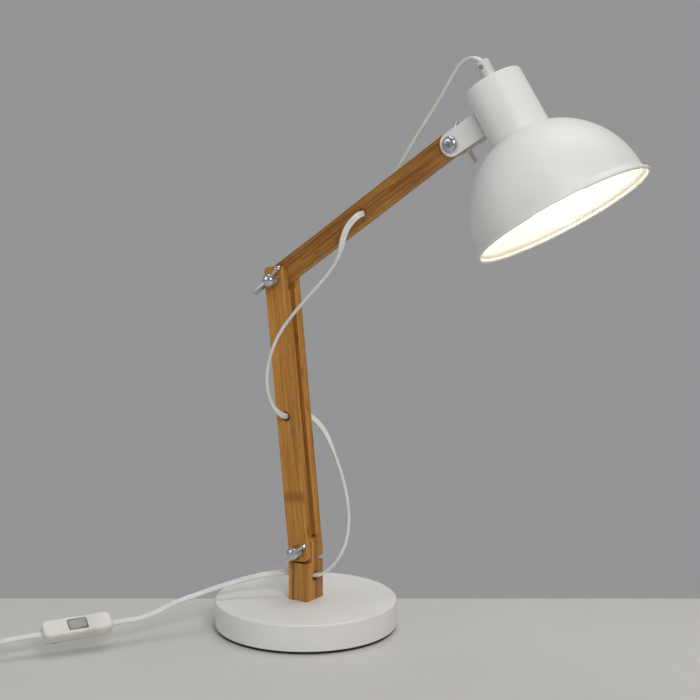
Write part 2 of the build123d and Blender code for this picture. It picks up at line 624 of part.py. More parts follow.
# Bracket rivets: through the strap's web and the neck's wall
RIVET_INNER_FACE = neck_radius(BRACKET_TOP) - SHEET_WALL - 0.4
with BuildPart() as bracket_rivets:
    with BuildSketch(rivet_plane.offset(WEB_FACE + BRACKET_SHEET)):
        with GridLocations(RIVET_SPACING, 0, 2, 1):
            Circle(RIVET_HEAD_DIAMETER / 2)
    extrude(amount=RIVET_HEAD_HEIGHT)
    with BuildSketch(rivet_plane.offset(RIVET_INNER_FACE)):
        with GridLocations(RIVET_SPACING, 0, 2, 1):
            Circle(RIVET_DIAMETER / 2)
    extrude(amount=WEB_FACE + BRACKET_SHEET - RIVET_INNER_FACE)
    with BuildSketch(rivet_plane.offset(RIVET_INNER_FACE)):
        with GridLocations(RIVET_SPACING, 0, 2, 1):
            Circle(RIVET_HEAD_DIAMETER / 2)
    extrude(amount=-RIVET_HEAD_HEIGHT)
bracket_rivets.part.label = "bracket_rivets"
export_step(bracket_rivets.part, "parts/bracket_rivets.step")

# Lampholder: threaded skirt through the dome, flange on the land, tapered crown
FLANGE_TOP = NECK_FOOT_HEIGHT + HOLDER_FLANGE_THICKNESS
HOLDER_BODY_TOP = NECK_TOP_HEIGHT - HOLDER_TOP_DROP
CROWN_TOP = HOLDER_BODY_TOP + HOLDER_CROWN_HEIGHT
CAP_BORE_RADIUS = CAP_RADIUS + 2 * FIT_CLEARANCE
with BuildPart() as lampholder:
    with BuildSketch(shade_section):
        with BuildLine():
            Polyline(
                (0, CAP_TOP_HEIGHT),
                (CAP_BORE_RADIUS, CAP_TOP_HEIGHT),
                (CAP_BORE_RADIUS, HOLDER_MOUTH_HEIGHT + HOLDER_THROAT_DEPTH),
                (HOLDER_THROAT_RADIUS, HOLDER_MOUTH_HEIGHT + HOLDER_THROAT_DEPTH),
                (HOLDER_THROAT_RADIUS, HOLDER_MOUTH_HEIGHT),
                (HOLDER_SKIRT_RADIUS, HOLDER_MOUTH_HEIGHT),
                (HOLDER_SKIRT_RADIUS, NECK_FOOT_HEIGHT),
                (HOLDER_FLANGE_RADIUS, NECK_FOOT_HEIGHT),
                (HOLDER_FLANGE_RADIUS, FLANGE_TOP),
                (HOLDER_SKIRT_RADIUS, FLANGE_TOP),
                (HOLDER_SKIRT_RADIUS, HOLDER_BODY_TOP),
                (HOLDER_CROWN_RADIUS, CROWN_TOP),
                (NIPPLE_RADIUS + FIT_CLEARANCE, CROWN_TOP),
                (NIPPLE_RADIUS + FIT_CLEARANCE, CROWN_TOP - NIPPLE_DEPTH),
                (0, CROWN_TOP - NIPPLE_DEPTH),
                close=True,
            )
        make_face()
    revolve(axis=shade_axis_line)
lampholder.part.label = "lampholder"
export_step(lampholder.part, "parts/lampholder.step")

# Shade ring: a notched ring screwed up under the dome
RING_TOP = NECK_FOOT_HEIGHT - SHEET_WALL
with BuildPart() as shade_ring:
    with BuildSketch(shade_level(RING_TOP - RING_HEIGHT)):
        Circle(RING_RADIUS)
        with PolarLocations(RING_RADIUS, RING_NOTCH_COUNT):
            Circle(RING_NOTCH_RADIUS, mode=Mode.SUBTRACT)
        Circle(HOLDER_SKIRT_RADIUS + FIT_CLEARANCE, mode=Mode.SUBTRACT)
    extrude(amount=RING_HEIGHT)
shade_ring.part.label = "shade_ring"
export_step(shade_ring.part, "parts/shade_ring.step")

# Bulb: screw cap and blown glass with its own wall
CAP_FOOT_HEIGHT = CAP_TOP_HEIGHT - CAP_LENGTH
with BuildPart() as bulb_cap:
    with BuildSketch(shade_section):
        with BuildLine():
            Polyline(
                (0, CAP_FOOT_HEIGHT + 3),
                (BULB_NECK_RADIUS - BULB_GLASS_WALL - 1, CAP_FOOT_HEIGHT + 3),
                (BULB_NECK_RADIUS - BULB_GLASS_WALL - 1, CAP_FOOT_HEIGHT),
                (CAP_RADIUS, CAP_FOOT_HEIGHT),
                (CAP_RADIUS, CAP_TOP_HEIGHT - CAP_TAPER_LENGTH),
                (CAP_CONTACT_RADIUS, CAP_TOP_HEIGHT - 1),
                (CAP_CONTACT_RADIUS, CAP_TOP_HEIGHT),
                (0, CAP_TOP_HEIGHT),
                close=True,
            )
        make_face()
    revolve(axis=shade_axis_line)
bulb_cap.part.label = "bulb_cap"
export_step(bulb_cap.part, "parts/bulb_cap.step")

BULB_TIP_HEIGHT = BULB_CENTRE_HEIGHT - BULB_RADIUS
SHOULDER_RADIUS = sqrt(BULB_RADIUS**2 - (BULB_SHOULDER_HEIGHT - BULB_CENTRE_HEIGHT) ** 2)
with BuildPart() as bulb_glass:
    with BuildSketch(shade_section):
        with BuildLine():
            ball = RadiusArc((SHOULDER_RADIUS, BULB_SHOULDER_HEIGHT), (0, BULB_TIP_HEIGHT), BULB_RADIUS)
            neck = Spline(
                (BULB_NECK_RADIUS, CAP_FOOT_HEIGHT),
                (SHOULDER_RADIUS, BULB_SHOULDER_HEIGHT),
                tangents=[(0, -1), ball % 0],
            )
            Polyline(neck @ 0, (0, CAP_FOOT_HEIGHT), ball @ 1)
        make_face()
    revolve(axis=shade_axis_line)
    offset(amount=-BULB_GLASS_WALL, openings=bulb_glass.faces().sort_by(shade_axis_line)[-1])
bulb_glass.part.label = "bulb_glass"
export_step(bulb_glass.part, "parts/bulb_glass.step")

# Threaded nipple and hexagonal coupling between lampholder and cord clamp
NIPPLE_FOOT = CROWN_TOP - NIPPLE_DEPTH
COUPLING_TOP = NECK_TOP_HEIGHT - SHEET_WALL
COUPLING_FOOT = COUPLING_TOP - COUPLING_LENGTH
CLAMP_SHANK_FOOT = NECK_TOP_HEIGHT - CLAMP_SHANK_LENGTH
NIPPLE_TOP = CLAMP_SHANK_FOOT - 1
with BuildPart() as nipple:
    with BuildSketch(shade_level(NIPPLE_FOOT)):
        Circle(NIPPLE_RADIUS)
        Circle(NIPPLE_BORE_RADIUS, mode=Mode.SUBTRACT)
    extrude(amount=NIPPLE_TOP - NIPPLE_FOOT)
nipple.part.label = "nipple"
export_step(nipple.part, "parts/nipple.step")

with BuildPart() as coupling:
    with BuildSketch(shade_level(COUPLING_FOOT)):
        RegularPolygon(COUPLING_FLATS / 2, 6, major_radius=False)
        Circle(NIPPLE_RADIUS + FIT_CLEARANCE, mode=Mode.SUBTRACT)
    extrude(amount=COUPLING_LENGTH)
coupling.part.label = "coupling"
export_step(coupling.part, "parts/coupling.step")

# Cord clamp: a plain barrel on the neck with a grub screw that faces the front
CLAMP_TOP = NECK_TOP_HEIGHT + CLAMP_HEIGHT
CLAMP_SCREW_HEIGHT = CLAMP_TOP - CLAMP_SCREW_DROP
screw_plane = Plane(RIM_CENTRE + SHADE_AXIS * CLAMP_SCREW_HEIGHT, x_dir=SHADE_ACROSS, z_dir=FRONT)
with BuildPart() as cord_clamp:
    with BuildSketch(shade_level(NECK_TOP_HEIGHT)):
        Circle(CLAMP_RADIUS)
    extrude(amount=CLAMP_HEIGHT)
    fillet(cord_clamp.edges().sort_by(shade_axis_line)[-1], 0.8)
    with BuildSketch(shade_level(CLAMP_SHANK_FOOT)):
        Circle(NIPPLE_RADIUS)
    extrude(amount=CLAMP_SHANK_LENGTH)
    with BuildSketch(shade_level(CLAMP_SHANK_FOOT)):
        Circle(NIPPLE_BORE_RADIUS)
    extrude(amount=CLAMP_TOP - CLAMP_SHANK_FOOT, mode=Mode.SUBTRACT)
    with BuildSketch(screw_plane):
        Circle(CLAMP_SCREW_DIAMETER / 2 + FIT_CLEARANCE)
    extrude(amount=2 * CLAMP_RADIUS, mode=Mode.SUBTRACT)
cord_clamp.part.label = "cord_clamp"
export_step(cord_clamp.part, "parts/cord_clamp.step")

SCREW_TIP = CORD_DIAMETER / 2 + FIT_CLEARANCE
SCREW_HEAD = CLAMP_RADIUS + CLAMP_SCREW_PROUD
with BuildPart() as clamp_screw:
    with BuildSketch(screw_plane.offset(SCREW_TIP)):
        Circle(CLAMP_SCREW_DIAMETER / 2)
    extrude(amount=SCREW_HEAD - SCREW_TIP)
    with BuildSketch(screw_plane.offset(SCREW_HEAD)):
        Rectangle(2 * CLAMP_SCREW_DIAMETER, CLAMP_SLOT_WIDTH)
    extrude(amount=-CLAMP_SLOT_WIDTH, mode=Mode.SUBTRACT)
clamp_screw.part.label = "clamp_screw"
export_step(clamp_screw.part, "parts/clamp_screw.step")

# Cord inside the neck, from the lampholder's terminals up to the clamp's grip
CORE_START_HEIGHT = CROWN_TOP - CORE_TAIL
CORE_TOP_HEIGHT = CLAMP_TOP - CORD_STUB_DEPTH
with BuildPart() as cord_in_neck:
    with BuildSketch(shade_level(CORE_START_HEIGHT)):
        Circle(CORD_DIAMETER / 2)
    extrude(amount=CORE_TOP_HEIGHT - CORE_START_HEIGHT)
cord_in_neck.part.label = "cord_in_neck"
export_step(cord_in_neck.part, "parts/cord_in_neck.step")


def corner_radii(route: list[Vector]) -> list[float]:
    """Arc radius at each corner: 0.45 of its shorter run over the tangent of half the turn."""
    radii = []
    for before, corner, after in zip(route, route[1:], route[2:]):
        arriving = corner - before
        leaving = after - corner
        half_turn = radians(arriving.get_angle(leaving)) / 2
        radii.append(0.45 * min(arriving.length, leaving.length) / tan(half_turn))
    return radii


def cord_tube(name: str, points: list) -> BuildPart:
    """A round cord swept along straight runs joined by tangent arcs."""
    route = [Vector(point) for point in points]
    radii = corner_radii(route)
    with BuildPart() as tube:
        with BuildLine():
            path = FilletPolyline(*route, radius=radii)
        with BuildSketch(Plane(origin=path @ 0, z_dir=path % 0)):
            Circle(CORD_DIAMETER / 2)
        sweep(path=path)
    section_volume = pi * (CORD_DIAMETER / 2) ** 2 * path.length
    print(f"{name}: length {path.length:.1f}, volume {tube.part.volume / section_volume:.4f}")
    print("  radii", *(f"{radius:.0f}" for radius in radii))
    return tube


# Cord routes, from the head down: through the bar, the slats and the post to the switch
BAR_HOLE = ELBOW_PIVOT + swing_direction(UPPER_ARM_ANGLE) * UPPER_ARM_LENGTH * BAR_CORD_SHARE
SLAT_HOLE = FOOT_PIVOT + swing_direction(LOWER_ARM_ANGLE) * LOWER_ARM_LENGTH * SLAT_CORD_SHARE
POST_HOLE = Vector(0, 0, POST_CORD_HEIGHT)
CLAMP_GRIP = RIM_CENTRE + SHADE_AXIS * CORE_TOP_HEIGHT
CLAMP_EXIT = RIM_CENTRE + SHADE_AXIS * (CLAMP_TOP + CORD_EXIT_RISE)

cord_head = cord_tube(
    "cord_head",
    [
        CLAMP_GRIP,
        CLAMP_EXIT,
        (160.8, 2.5, 501.2),
        (149.0, 6.3, 496.2),
        (139.6, 9.0, 484.6),
        (130.5, 11.5, 471.5),
        (121.0, 13.5, 458.8),
        (112.2, 15.0, 447.8),
        (103.0, 16.2, 435.6),
        (92.6, 17.4, 420.4),
        (84.0, 18.4, 407.6),
        (76.2, 18.9, 395.6),
        (69.2, 18.4, 384.2),
        (63.6, 14.6, 373.6),
        (BAR_HOLE.X, 7.2, BAR_HOLE.Z),
        BAR_HOLE,
    ],
)
cord_head.part.label = "cord_head"
export_step(cord_head.part, "parts/cord_head.step")

cord_elbow = cord_tube(
    "cord_elbow",
    [
        BAR_HOLE,
        (BAR_HOLE.X, -7.8, BAR_HOLE.Z),
        (59.4, -13.4, 365.6),
        (53.4, -16.0, 357.4),
        (50.2, -17.2, 346.4),
        (48.4, -18.4, 334.4),
        (40.6, -19.6, 322.0),
        (30.0, -20.9, 310.0),
        (17.6, -22.3, 296.6),
        (4.5, -23.6, 282.4),
        (-6.6, -24.7, 268.6),
        (-15.4, -25.4, 253.0),
        (-21.0, -25.7, 236.2),
        (-22.8, -25.4, 219.4),
        (-19.8, -24.0, 204.6),
        (-15.0, -21.4, 195.6),
        (-12.3, -15.4, 190.4),
        (SLAT_HOLE.X, -8.0, SLAT_HOLE.Z),
        SLAT_HOLE,
    ],
)
cord_elbow.part.label = "cord_elbow"
export_step(cord_elbow.part, "parts/cord_elbow.step")

cord_foot = cord_tube(
    "cord_foot",
    [
        SLAT_HOLE,
        (SLAT_HOLE.X, 8.4, SLAT_HOLE.Z),
        (-9.6, 16.0, 187.2),
        (-3.0, 19.4, 182.0),
        (5.6, 20.6, 174.2),
        (13.2, 21.0, 161.4),
        (20.8, 20.7, 145.2),
        (28.2, 19.2, 128.6),
        (33.8, 16.8, 111.4),
        (36.9, 13.6, 94.0),
        (36.2, 9.6, 77.6),
        (30.8, 5.6, 64.2),
        (22.6, 2.2, 53.6),
        (12.4, 0, POST_CORD_HEIGHT),
        POST_HOLE,
    ],
)
cord_foot.part.label = "cord_foot"
export_step(cord_foot.part, "parts/cord_foot.step")

# Inline switch: its own planes, rolled so that the rocker faces forward and up
switch_right = Vector(SWITCH_RIGHT_END)
switch_left = Vector(SWITCH_LEFT_END)
SWITCH_LENGTH = (switch_right - switch_left).length
switch_along = (switch_right - switch_left).normalized()
switch_level = switch_along.cross(Vector(0, 0, 1)).normalized()
switch_upright = switch_level.cross(switch_along).normalized()
switch_normal = switch_upright * cos(radians(SWITCH_ROLL)) + switch_level * sin(radians(SWITCH_ROLL))
switch_plane = Plane((switch_right + switch_left) * 0.5, x_dir=switch_along, z_dir=switch_normal)
switch_end = Plane(switch_plane.origin, x_dir=switch_plane.y_dir, z_dir=switch_along)
SWITCH_INSIDE_HEIGHT = SWITCH_HALF_HEIGHT - SWITCH_WALL
SCREW_PLACES = [
    (SWITCH_SCREW_OFFSET, SWITCH_SCREW_SIDE),
    (-SWITCH_SCREW_OFFSET, -SWITCH_SCREW_SIDE),
]

cord_to_switch = cord_tube(
    "cord_to_switch",
    [
        POST_HOLE,
        (-12.0, 0, POST_CORD_HEIGHT),
        (-21.8, -5.6, 46.6),
        (-30.4, -13.0, 45.7),
        (-39.2, -21.2, 44.0),
        (-47.6, -30.0, 41.4),
        (-55.6, -39.6, 38.8),
        (-63.2, -50.2, 36.2),
        (-70.4, -61.6, 33.0),
        (-77.6, -74.0, 30.2),
        (-84.8, -87.0, 26.6),
        (-91.2, -100.2, 21.4),
        (-97.2, -113.6, 19.2),
        switch_right + switch_along * CORD_STRAIGHT,
        switch_right - switch_along * CORD_STUB_DEPTH,
    ],
)
cord_to_switch.part.label = "cord_to_switch"
export_step(cord_to_switch.part, "parts/cord_to_switch.step")


def half_shell(side: int) -> BuildPart:
    """One half of the switch housing, open at the parting face, with the cord's half bores."""
    outward = Axis(switch_plane.origin, switch_normal * side)
    with BuildPart() as shell:
        with BuildSketch(switch_plane):
            RectangleRounded(SWITCH_LENGTH, SWITCH_WIDTH, SWITCH_CORNER_RADIUS)
        extrude(amount=side * SWITCH_HALF_HEIGHT)
        fillet(shell.faces().sort_by(outward)[-1].outer_wire().edges(), SWITCH_EDGE_RADIUS)
        offset(amount=-SWITCH_WALL, openings=shell.faces().sort_by(outward)[0])
        with BuildSketch(switch_plane.offset(side * SWITCH_INSIDE_HEIGHT)):
            with Locations(SCREW_PLACES):
                Circle(SWITCH_BOSS_DIAMETER / 2)
        extrude(amount=-side * SWITCH_INSIDE_HEIGHT)
        with BuildSketch(switch_end):
            Circle(CORD_DIAMETER / 2 + FIT_CLEARANCE)
        extrude(amount=SWITCH_LENGTH, both=True, mode=Mode.SUBTRACT)
    return shell


# Upper shell: rocker window, two hanging cheeks with pivot holes, blind screw bosses
rocker_pivot = switch_plane.origin + switch_normal * ROCKER_PIVOT_HEIGHT
WINDOW_WIDTH = ROCKER_WIDTH + 2 * ROCKER_GAP
with BuildPart() as switch_upper:
    add(half_shell(1).part)
    with BuildSketch(switch_plane.offset(SWITCH_INSIDE_HEIGHT)):
        with GridLocations(0, WINDOW_WIDTH + ROCKER_CHEEK, 1, 2):
            Rectangle(3 * ROCKER_PIN_DIAMETER, ROCKER_CHEEK)
    extrude(amount=-1.5 * ROCKER_PIN_DIAMETER)
    with BuildSketch(switch_plane.offset(SWITCH_INSIDE_HEIGHT)):
        Rectangle(ROCKER_LENGTH + 2 * ROCKER_GAP, WINDOW_WIDTH)
    extrude(amount=SWITCH_HALF_HEIGHT, mode=Mode.SUBTRACT)
    with BuildSketch(Plane(rocker_pivot, x_dir=switch_along, z_dir=switch_plane.y_dir)):
        Circle(ROCKER_PIN_DIAMETER / 2 + RUNNING_CLEARANCE)
    extrude(amount=WINDOW_WIDTH / 2 + ROCKER_PIN_LENGTH, both=True, mode=Mode.SUBTRACT)
    with BuildSketch(switch_plane):
        with Locations(SCREW_PLACES):
            Circle(SWITCH_SCREW_DIAMETER / 2 + FIT_CLEARANCE)
    extrude(amount=SWITCH_SCREW_GRIP, mode=Mode.SUBTRACT)
switch_upper.part.label = "switch_upper"
export_step(switch_upper.part, "parts/switch_upper.step")

# Lower shell: through screw bosses with head recesses
SCREW_HEAD_TOP = SWITCH_HALF_HEIGHT - SWITCH_HEAD_RECESS
with BuildPart() as switch_lower:
    add(half_shell(-1).part)
    with BuildSketch(switch_plane):
        with Locations(SCREW_PLACES):
            Circle(SWITCH_SCREW_DIAMETER / 2 + FIT_CLEARANCE)
    extrude(amount=-SWITCH_HALF_HEIGHT, mode=Mode.SUBTRACT)
    with BuildSketch(switch_plane.offset(-SWITCH_HALF_HEIGHT)):
        with Locations(SCREW_PLACES):
            Circle(SWITCH_SCREW_HEAD / 2 + FIT_CLEARANCE)
    extrude(amount=SWITCH_HEAD_RECESS, mode=Mode.SUBTRACT)
switch_lower.part.label = "switch_lower"
export_step(switch_lower.part, "parts/switch_lower.step")

with BuildPart() as switch_screws:
    with BuildSketch(switch_plane.offset(-SCREW_HEAD_TOP)):
        with Locations(SCREW_PLACES):
            Circle(SWITCH_SCREW_HEAD / 2)
    extrude(amount=-SWITCH_SCREW_HEAD / 3)
    with BuildSketch(switch_plane.offset(-SCREW_HEAD_TOP)):
        with Locations(SCREW_PLACES):
            Circle(SWITCH_SCREW_DIAMETER / 2)
    extrude(amount=SCREW_HEAD_TOP + SWITCH_SCREW_GRIP - WEIGHT_GAP)
switch_screws.part.label = "switch_screws"
export_step(switch_screws.part, "parts/switch_screws.step")

# Rocker: shallow V top on two pivot pins, resting with its right end up
ROCKER_HALF = ROCKER_LENGTH / 2
ROCKER_CREST = SWITCH_HALF_HEIGHT - ROCKER_PIVOT_HEIGHT
ROCKER_END_RISE = ROCKER_CREST + ROCKER_HALF * tan(radians(ROCKER_TILT))
rocker_along = switch_along * cos(radians(ROCKER_TILT)) + switch_normal * sin(radians(ROCKER_TILT))
rocker_plane = Plane(rocker_pivot, x_dir=rocker_along, z_dir=-switch_plane.y_dir)
with BuildPart() as switch_rocker:
    with BuildSketch(rocker_plane):
        with BuildLine():
            Polyline(
                (0, ROCKER_CREST),
                (ROCKER_HALF, ROCKER_END_RISE),
                (ROCKER_HALF - ROCKER_GAP, -ROCKER_PIN_DIAMETER / 2),
                (ROCKER_HALF / 2, -ROCKER_DEPTH),
                (-ROCKER_HALF / 2, -ROCKER_DEPTH),
                (ROCKER_GAP - ROCKER_HALF, -ROCKER_PIN_DIAMETER / 2),
                (-ROCKER_HALF, ROCKER_END_RISE),
                close=True,
            )
        make_face()
    extrude(amount=ROCKER_WIDTH / 2, both=True)
    with BuildSketch(rocker_plane):
        Circle(ROCKER_PIN_DIAMETER / 2)
    extrude(amount=WINDOW_WIDTH / 2 + ROCKER_PIN_LENGTH - ROCKER_GAP, both=True)
switch_rocker.part.label = "switch_rocker"
export_step(switch_rocker.part, "parts/switch_rocker.step")

# Stored length: a flat two-layer coil, spiralling in on the table and out on top
coil_start_direction = Vector(1, 0, 0).rotate(Axis.Z, COIL_ANGLE)
coil_plane = Plane((*COIL_CENTRE, COIL_HEIGHT), x_dir=coil_start_direction, z_dir=(0, 0, -1))
coil_heading = coil_plane.y_dir
COIL_STEP = COIL_PITCH / 2


def coil_point(along_start: float, along_heading: float, rise: float) -> Vector:
    """World place of a point given along the coil's start line, its heading and upward."""
    return coil_plane.from_local_coords(Vector(along_start, along_heading, -rise))


def half_turn_arc(start: float, radius: float, rise: float) -> Edge:
    """Level half turn from a signed place on the start line to the other side."""
    side = 1 if start > 0 else -1
    centre = start - side * radius
    return ThreePointArc(
        coil_point(start, 0, rise),
        coil_point(centre, side * radius, rise),
        coil_point(centre - side * radius, 0, rise),
    )


def coil_route() -> Wire:
    """The coil's centre line: in on the lower layer, a climbing half turn, out on the upper."""
    inward = [COIL_OUTER_RADIUS - COIL_STEP * step for step in range(COIL_HALF_TURNS)]
    climb_radius = COIL_OUTER_RADIUS - COIL_STEP * COIL_HALF_TURNS
    outward = [climb_radius + COIL_STEP * (step + 1) for step in range(COIL_HALF_TURNS - 1)]
    with BuildLine() as line:
        Line(
            coil_point(COIL_OUTER_RADIUS, -CORD_DIAMETER, 0),
            coil_point(COIL_OUTER_RADIUS, 0, 0),
        )
        place = COIL_OUTER_RADIUS
        for radius in inward:
            half_turn_arc(place, radius, 0)
            place -= 2 * radius if place > 0 else -2 * radius
        crest = sqrt(climb_radius**2 + (COIL_LAYER_RISE / 2) ** 2)
        middle = coil_point(place - climb_radius, crest, COIL_LAYER_RISE / 2)
        first_quarter = TangentArc(coil_point(place, 0, 0), middle, tangent=coil_heading)
        TangentArc(
            first_quarter @ 1,
            coil_point(place - 2 * climb_radius, 0, COIL_LAYER_RISE),
            tangent=first_quarter % 1,
        )
        place -= 2 * climb_radius
        for radius in outward:
            half_turn_arc(place, radius, COIL_LAYER_RISE)
            place -= 2 * radius if place > 0 else -2 * radius
        last_quarter = TangentArc(
            coil_point(place, 0, COIL_LAYER_RISE),
            coil_point(place - COIL_EXIT_RADIUS, COIL_EXIT_RADIUS, COIL_LAYER_RISE),
            tangent=coil_heading,
        )
        Line(last_quarter @ 1, last_quarter @ 1 + (last_quarter % 1) * CORD_DIAMETER)
    return line.wire()


def least_gap(line: Wire, spacing: float) -> float:
    """Smallest gap between the tube and itself, on points a spacing apart."""
    count = int(line.length / spacing)
    points = [line.position_at(step / count) for step in range(count + 1)]
    skipped = int(pi * CORD_DIAMETER / spacing)
    nearest = min(
        (point - other).length
        for index, point in enumerate(points)
        for other in points[index + skipped :]
    )
    return nearest - CORD_DIAMETER


coil_line = coil_route()
with BuildPart() as cord_coil:
    with BuildSketch(Plane(origin=coil_line @ 0, z_dir=coil_line % 0)):
        Circle(CORD_DIAMETER / 2)
    sweep(path=coil_line)
cord_coil.part.label = "cord_coil"
export_step(cord_coil.part, "parts/cord_coil.step")
print(f"cord_coil: length {coil_line.length:.1f}, least gap {least_gap(coil_line, 1.5):.2f}")

cord_to_coil = cord_tube(
    "cord_to_coil",
    [
        switch_left + switch_along * CORD_STUB_DEPTH,
        switch_left - switch_along * CORD_STRAIGHT,
        (-152.8, -207.2, 17.4),
        (-159.4, -217.8, 16.4),
        (-167.0, -227.0, 13.2),
        (-175.4, -235.6, 8.0),
        coil_line @ 0 - coil_heading * CORD_STRAIGHT,
        coil_line @ 0,
    ],
)
cord_to_coil.part.label = "cord_to_coil"
export_step(cord_to_coil.part, "parts/cord_to_coil.step")

# Coil tie: a flat band round all the turns, opposite the place where the cord comes in
TIE_INNER = COIL_OUTER_RADIUS - COIL_STEP * COIL_HALF_TURNS - CORD_DIAMETER / 2 - TIE_GAP
TIE_OUTER = COIL_OUTER_RADIUS + CORD_DIAMETER / 2 + TIE_GAP
TIE_HEIGHT = COIL_LAYER_RISE + CORD_DIAMETER + 2 * TIE_GAP
tie_plane = Plane(coil_point(0, 0, COIL_LAYER_RISE / 2), x_dir=-coil_plane.x_dir, z_dir=coil_heading)
with BuildPart() as coil_tie:
    with BuildSketch(tie_plane):
        with Locations(((TIE_INNER + TIE_OUTER) / 2, 0)):
            RectangleRounded(
                TIE_OUTER - TIE_INNER + 2 * TIE_THICKNESS,
                TIE_HEIGHT + 2 * TIE_THICKNESS,
                TIE_CORNER + TIE_THICKNESS,
            )
            RectangleRounded(TIE_OUTER - TIE_INNER, TIE_HEIGHT, TIE_CORNER, mode=Mode.SUBTRACT)
    extrude(amount=TIE_WIDTH / 2, both=True)
coil_tie.part.label = "coil_tie"
export_step(coil_tie.part, "parts/coil_tie.step")

# Plug: tapered sleeve, flat moulded body lying on the table, two round pins
plug_heading = (coil_line % 1).normalized()
plug_side = plug_heading.cross(Vector(0, 0, 1))
plug_back = coil_line @ 1 + plug_heading * PLUG_SLEEVE_LENGTH
plug_back.Z = PLUG_THICKNESS / 2
plug_level = Plane(plug_back, x_dir=plug_heading, z_dir=(0, 0, 1))
pin_face = Plane(plug_back + plug_heading * PLUG_LENGTH, x_dir=plug_side, z_dir=plug_heading)
with BuildPart() as plug_sleeve:
    with BuildSketch(Plane(coil_line @ 1, x_dir=plug_side, z_dir=plug_heading)):
        Circle(PLUG_SLEEVE_TIP_RADIUS)
    with BuildSketch(Plane(plug_back, x_dir=plug_side, z_dir=plug_heading)):
        Circle(PLUG_SLEEVE_RADIUS)
    loft()
plug_sleeve.part.label = "plug_sleeve"
export_step(plug_sleeve.part, "parts/plug_sleeve.step")

with BuildPart() as plug_body:
    with BuildSketch(plug_level) as plug_outline:
        with BuildLine():
            Polyline(
                (0, -PLUG_BACK_WIDTH / 2),
                (0, PLUG_BACK_WIDTH / 2),
                (PLUG_LENGTH * PLUG_GRIP_SHARE, PLUG_BACK_WIDTH / 2 + 1),
                (PLUG_LENGTH - PLUG_FACE_DEPTH, PLUG_WIDTH / 2),
                (PLUG_LENGTH, PLUG_WIDTH / 2),
                (PLUG_LENGTH, -PLUG_WIDTH / 2),
                (PLUG_LENGTH - PLUG_FACE_DEPTH, -PLUG_WIDTH / 2),
                (PLUG_LENGTH * PLUG_GRIP_SHARE, -PLUG_BACK_WIDTH / 2 - 1),
                close=True,
            )
        make_face()
        fillet(plug_outline.vertices().group_by(Axis.X)[0], PLUG_EDGE_RADIUS)
        fillet(plug_outline.vertices().sort_by(Axis.X)[4:6], PLUG_LENGTH * PLUG_GRIP_SHARE / 2)
    extrude(amount=PLUG_THICKNESS / 2, both=True)
    for level_face in plug_body.faces().filter_by(Axis.Z):
        fillet(level_face.edges(), PLUG_EDGE_RADIUS)
plug_body.part.label = "plug_body"
export_step(plug_body.part, "parts/plug_body.step")

with BuildPart() as plug_pins:
    with BuildSketch(pin_face):
        with GridLocations(PIN_SPACING, 0, 2, 1):
            Circle(PIN_DIAMETER / 2)
    extrude(amount=PIN_LENGTH)
    fillet(plug_pins.edges().group_by(Axis(pin_face.origin, plug_heading))[-1], PIN_DIAMETER * 0.3)
plug_pins.part.label = "plug_pins"
export_step(plug_pins.part, "parts/plug_pins.step")
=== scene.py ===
"""Looks of a bamboo desk lamp with a domed white shade, a round base and an inline switch."""

import logging
import math
from dataclasses import dataclass, field
from enum import Enum

import bpy
import numpy as np
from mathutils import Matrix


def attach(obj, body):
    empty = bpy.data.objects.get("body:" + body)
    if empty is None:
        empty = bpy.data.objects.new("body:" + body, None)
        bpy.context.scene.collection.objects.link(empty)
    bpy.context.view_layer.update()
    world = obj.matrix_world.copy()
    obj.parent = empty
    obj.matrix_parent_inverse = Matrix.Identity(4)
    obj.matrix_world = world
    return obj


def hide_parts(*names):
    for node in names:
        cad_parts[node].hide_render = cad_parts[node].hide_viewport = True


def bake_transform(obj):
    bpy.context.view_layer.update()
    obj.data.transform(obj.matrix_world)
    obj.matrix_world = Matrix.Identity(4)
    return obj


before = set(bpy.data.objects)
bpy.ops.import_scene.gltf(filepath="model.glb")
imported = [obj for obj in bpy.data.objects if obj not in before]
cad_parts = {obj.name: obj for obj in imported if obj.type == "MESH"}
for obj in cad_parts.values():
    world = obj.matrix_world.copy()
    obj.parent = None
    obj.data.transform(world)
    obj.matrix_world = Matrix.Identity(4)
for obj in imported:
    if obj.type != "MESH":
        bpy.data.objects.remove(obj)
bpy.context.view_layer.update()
LOG = logging.getLogger("desk_lamp")
MM = 0.001
POINT_SIZE = 1e-9
FULL_TURN = 2 * math.pi

Rows = np.ndarray
Colour = tuple[float, float, float]


def unit(vector: Rows) -> Rows:
    """Scale vectors to length one.

    Args:
        vector: Vectors along the last axis.

    Returns:
        The same directions, each divided by its own length.
    """
    vector = np.asarray(vector, float)
    return vector / np.linalg.norm(vector, axis=-1, keepdims=True)


class BodyName(Enum):
    """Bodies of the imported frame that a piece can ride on."""

    BASE = "base"
    ROCKER = "rocker"
    LOWER_ARM = "lower_arm"
    FOOT_NUT = "foot_nut"
    ELBOW_NUT = "elbow_nut"
    UPPER_ARM = "upper_arm"
    HEAD = "head"
    HEAD_NUT = "head_nut"


@dataclass(frozen=True)
class Place:
    """Right-handed axes at a point of the lamp, in millimetres."""

    origin: tuple
    x: tuple
    z: tuple

    def world(self, points: Rows) -> Rows:
        """Turn local millimetres into metres of the lamp's frame.

        Args:
            points: Places along this frame's x, y and z, on the last axis.

        Returns:
            origin + x * a + y * b + z * c for each point (a, b, c), times a thousandth.
        """
        x, z = unit(self.x), unit(self.z)
        axes = np.stack([x, np.cross(z, x), z])
        return (np.asarray(self.origin, float) + points @ axes) * MM

    def along(self, distance: float) -> "Place":
        """A copy moved along its own z by a distance in millimetres."""
        origin = np.asarray(self.origin, float) + unit(self.z) * distance
        return Place(tuple(origin), self.x, self.z)


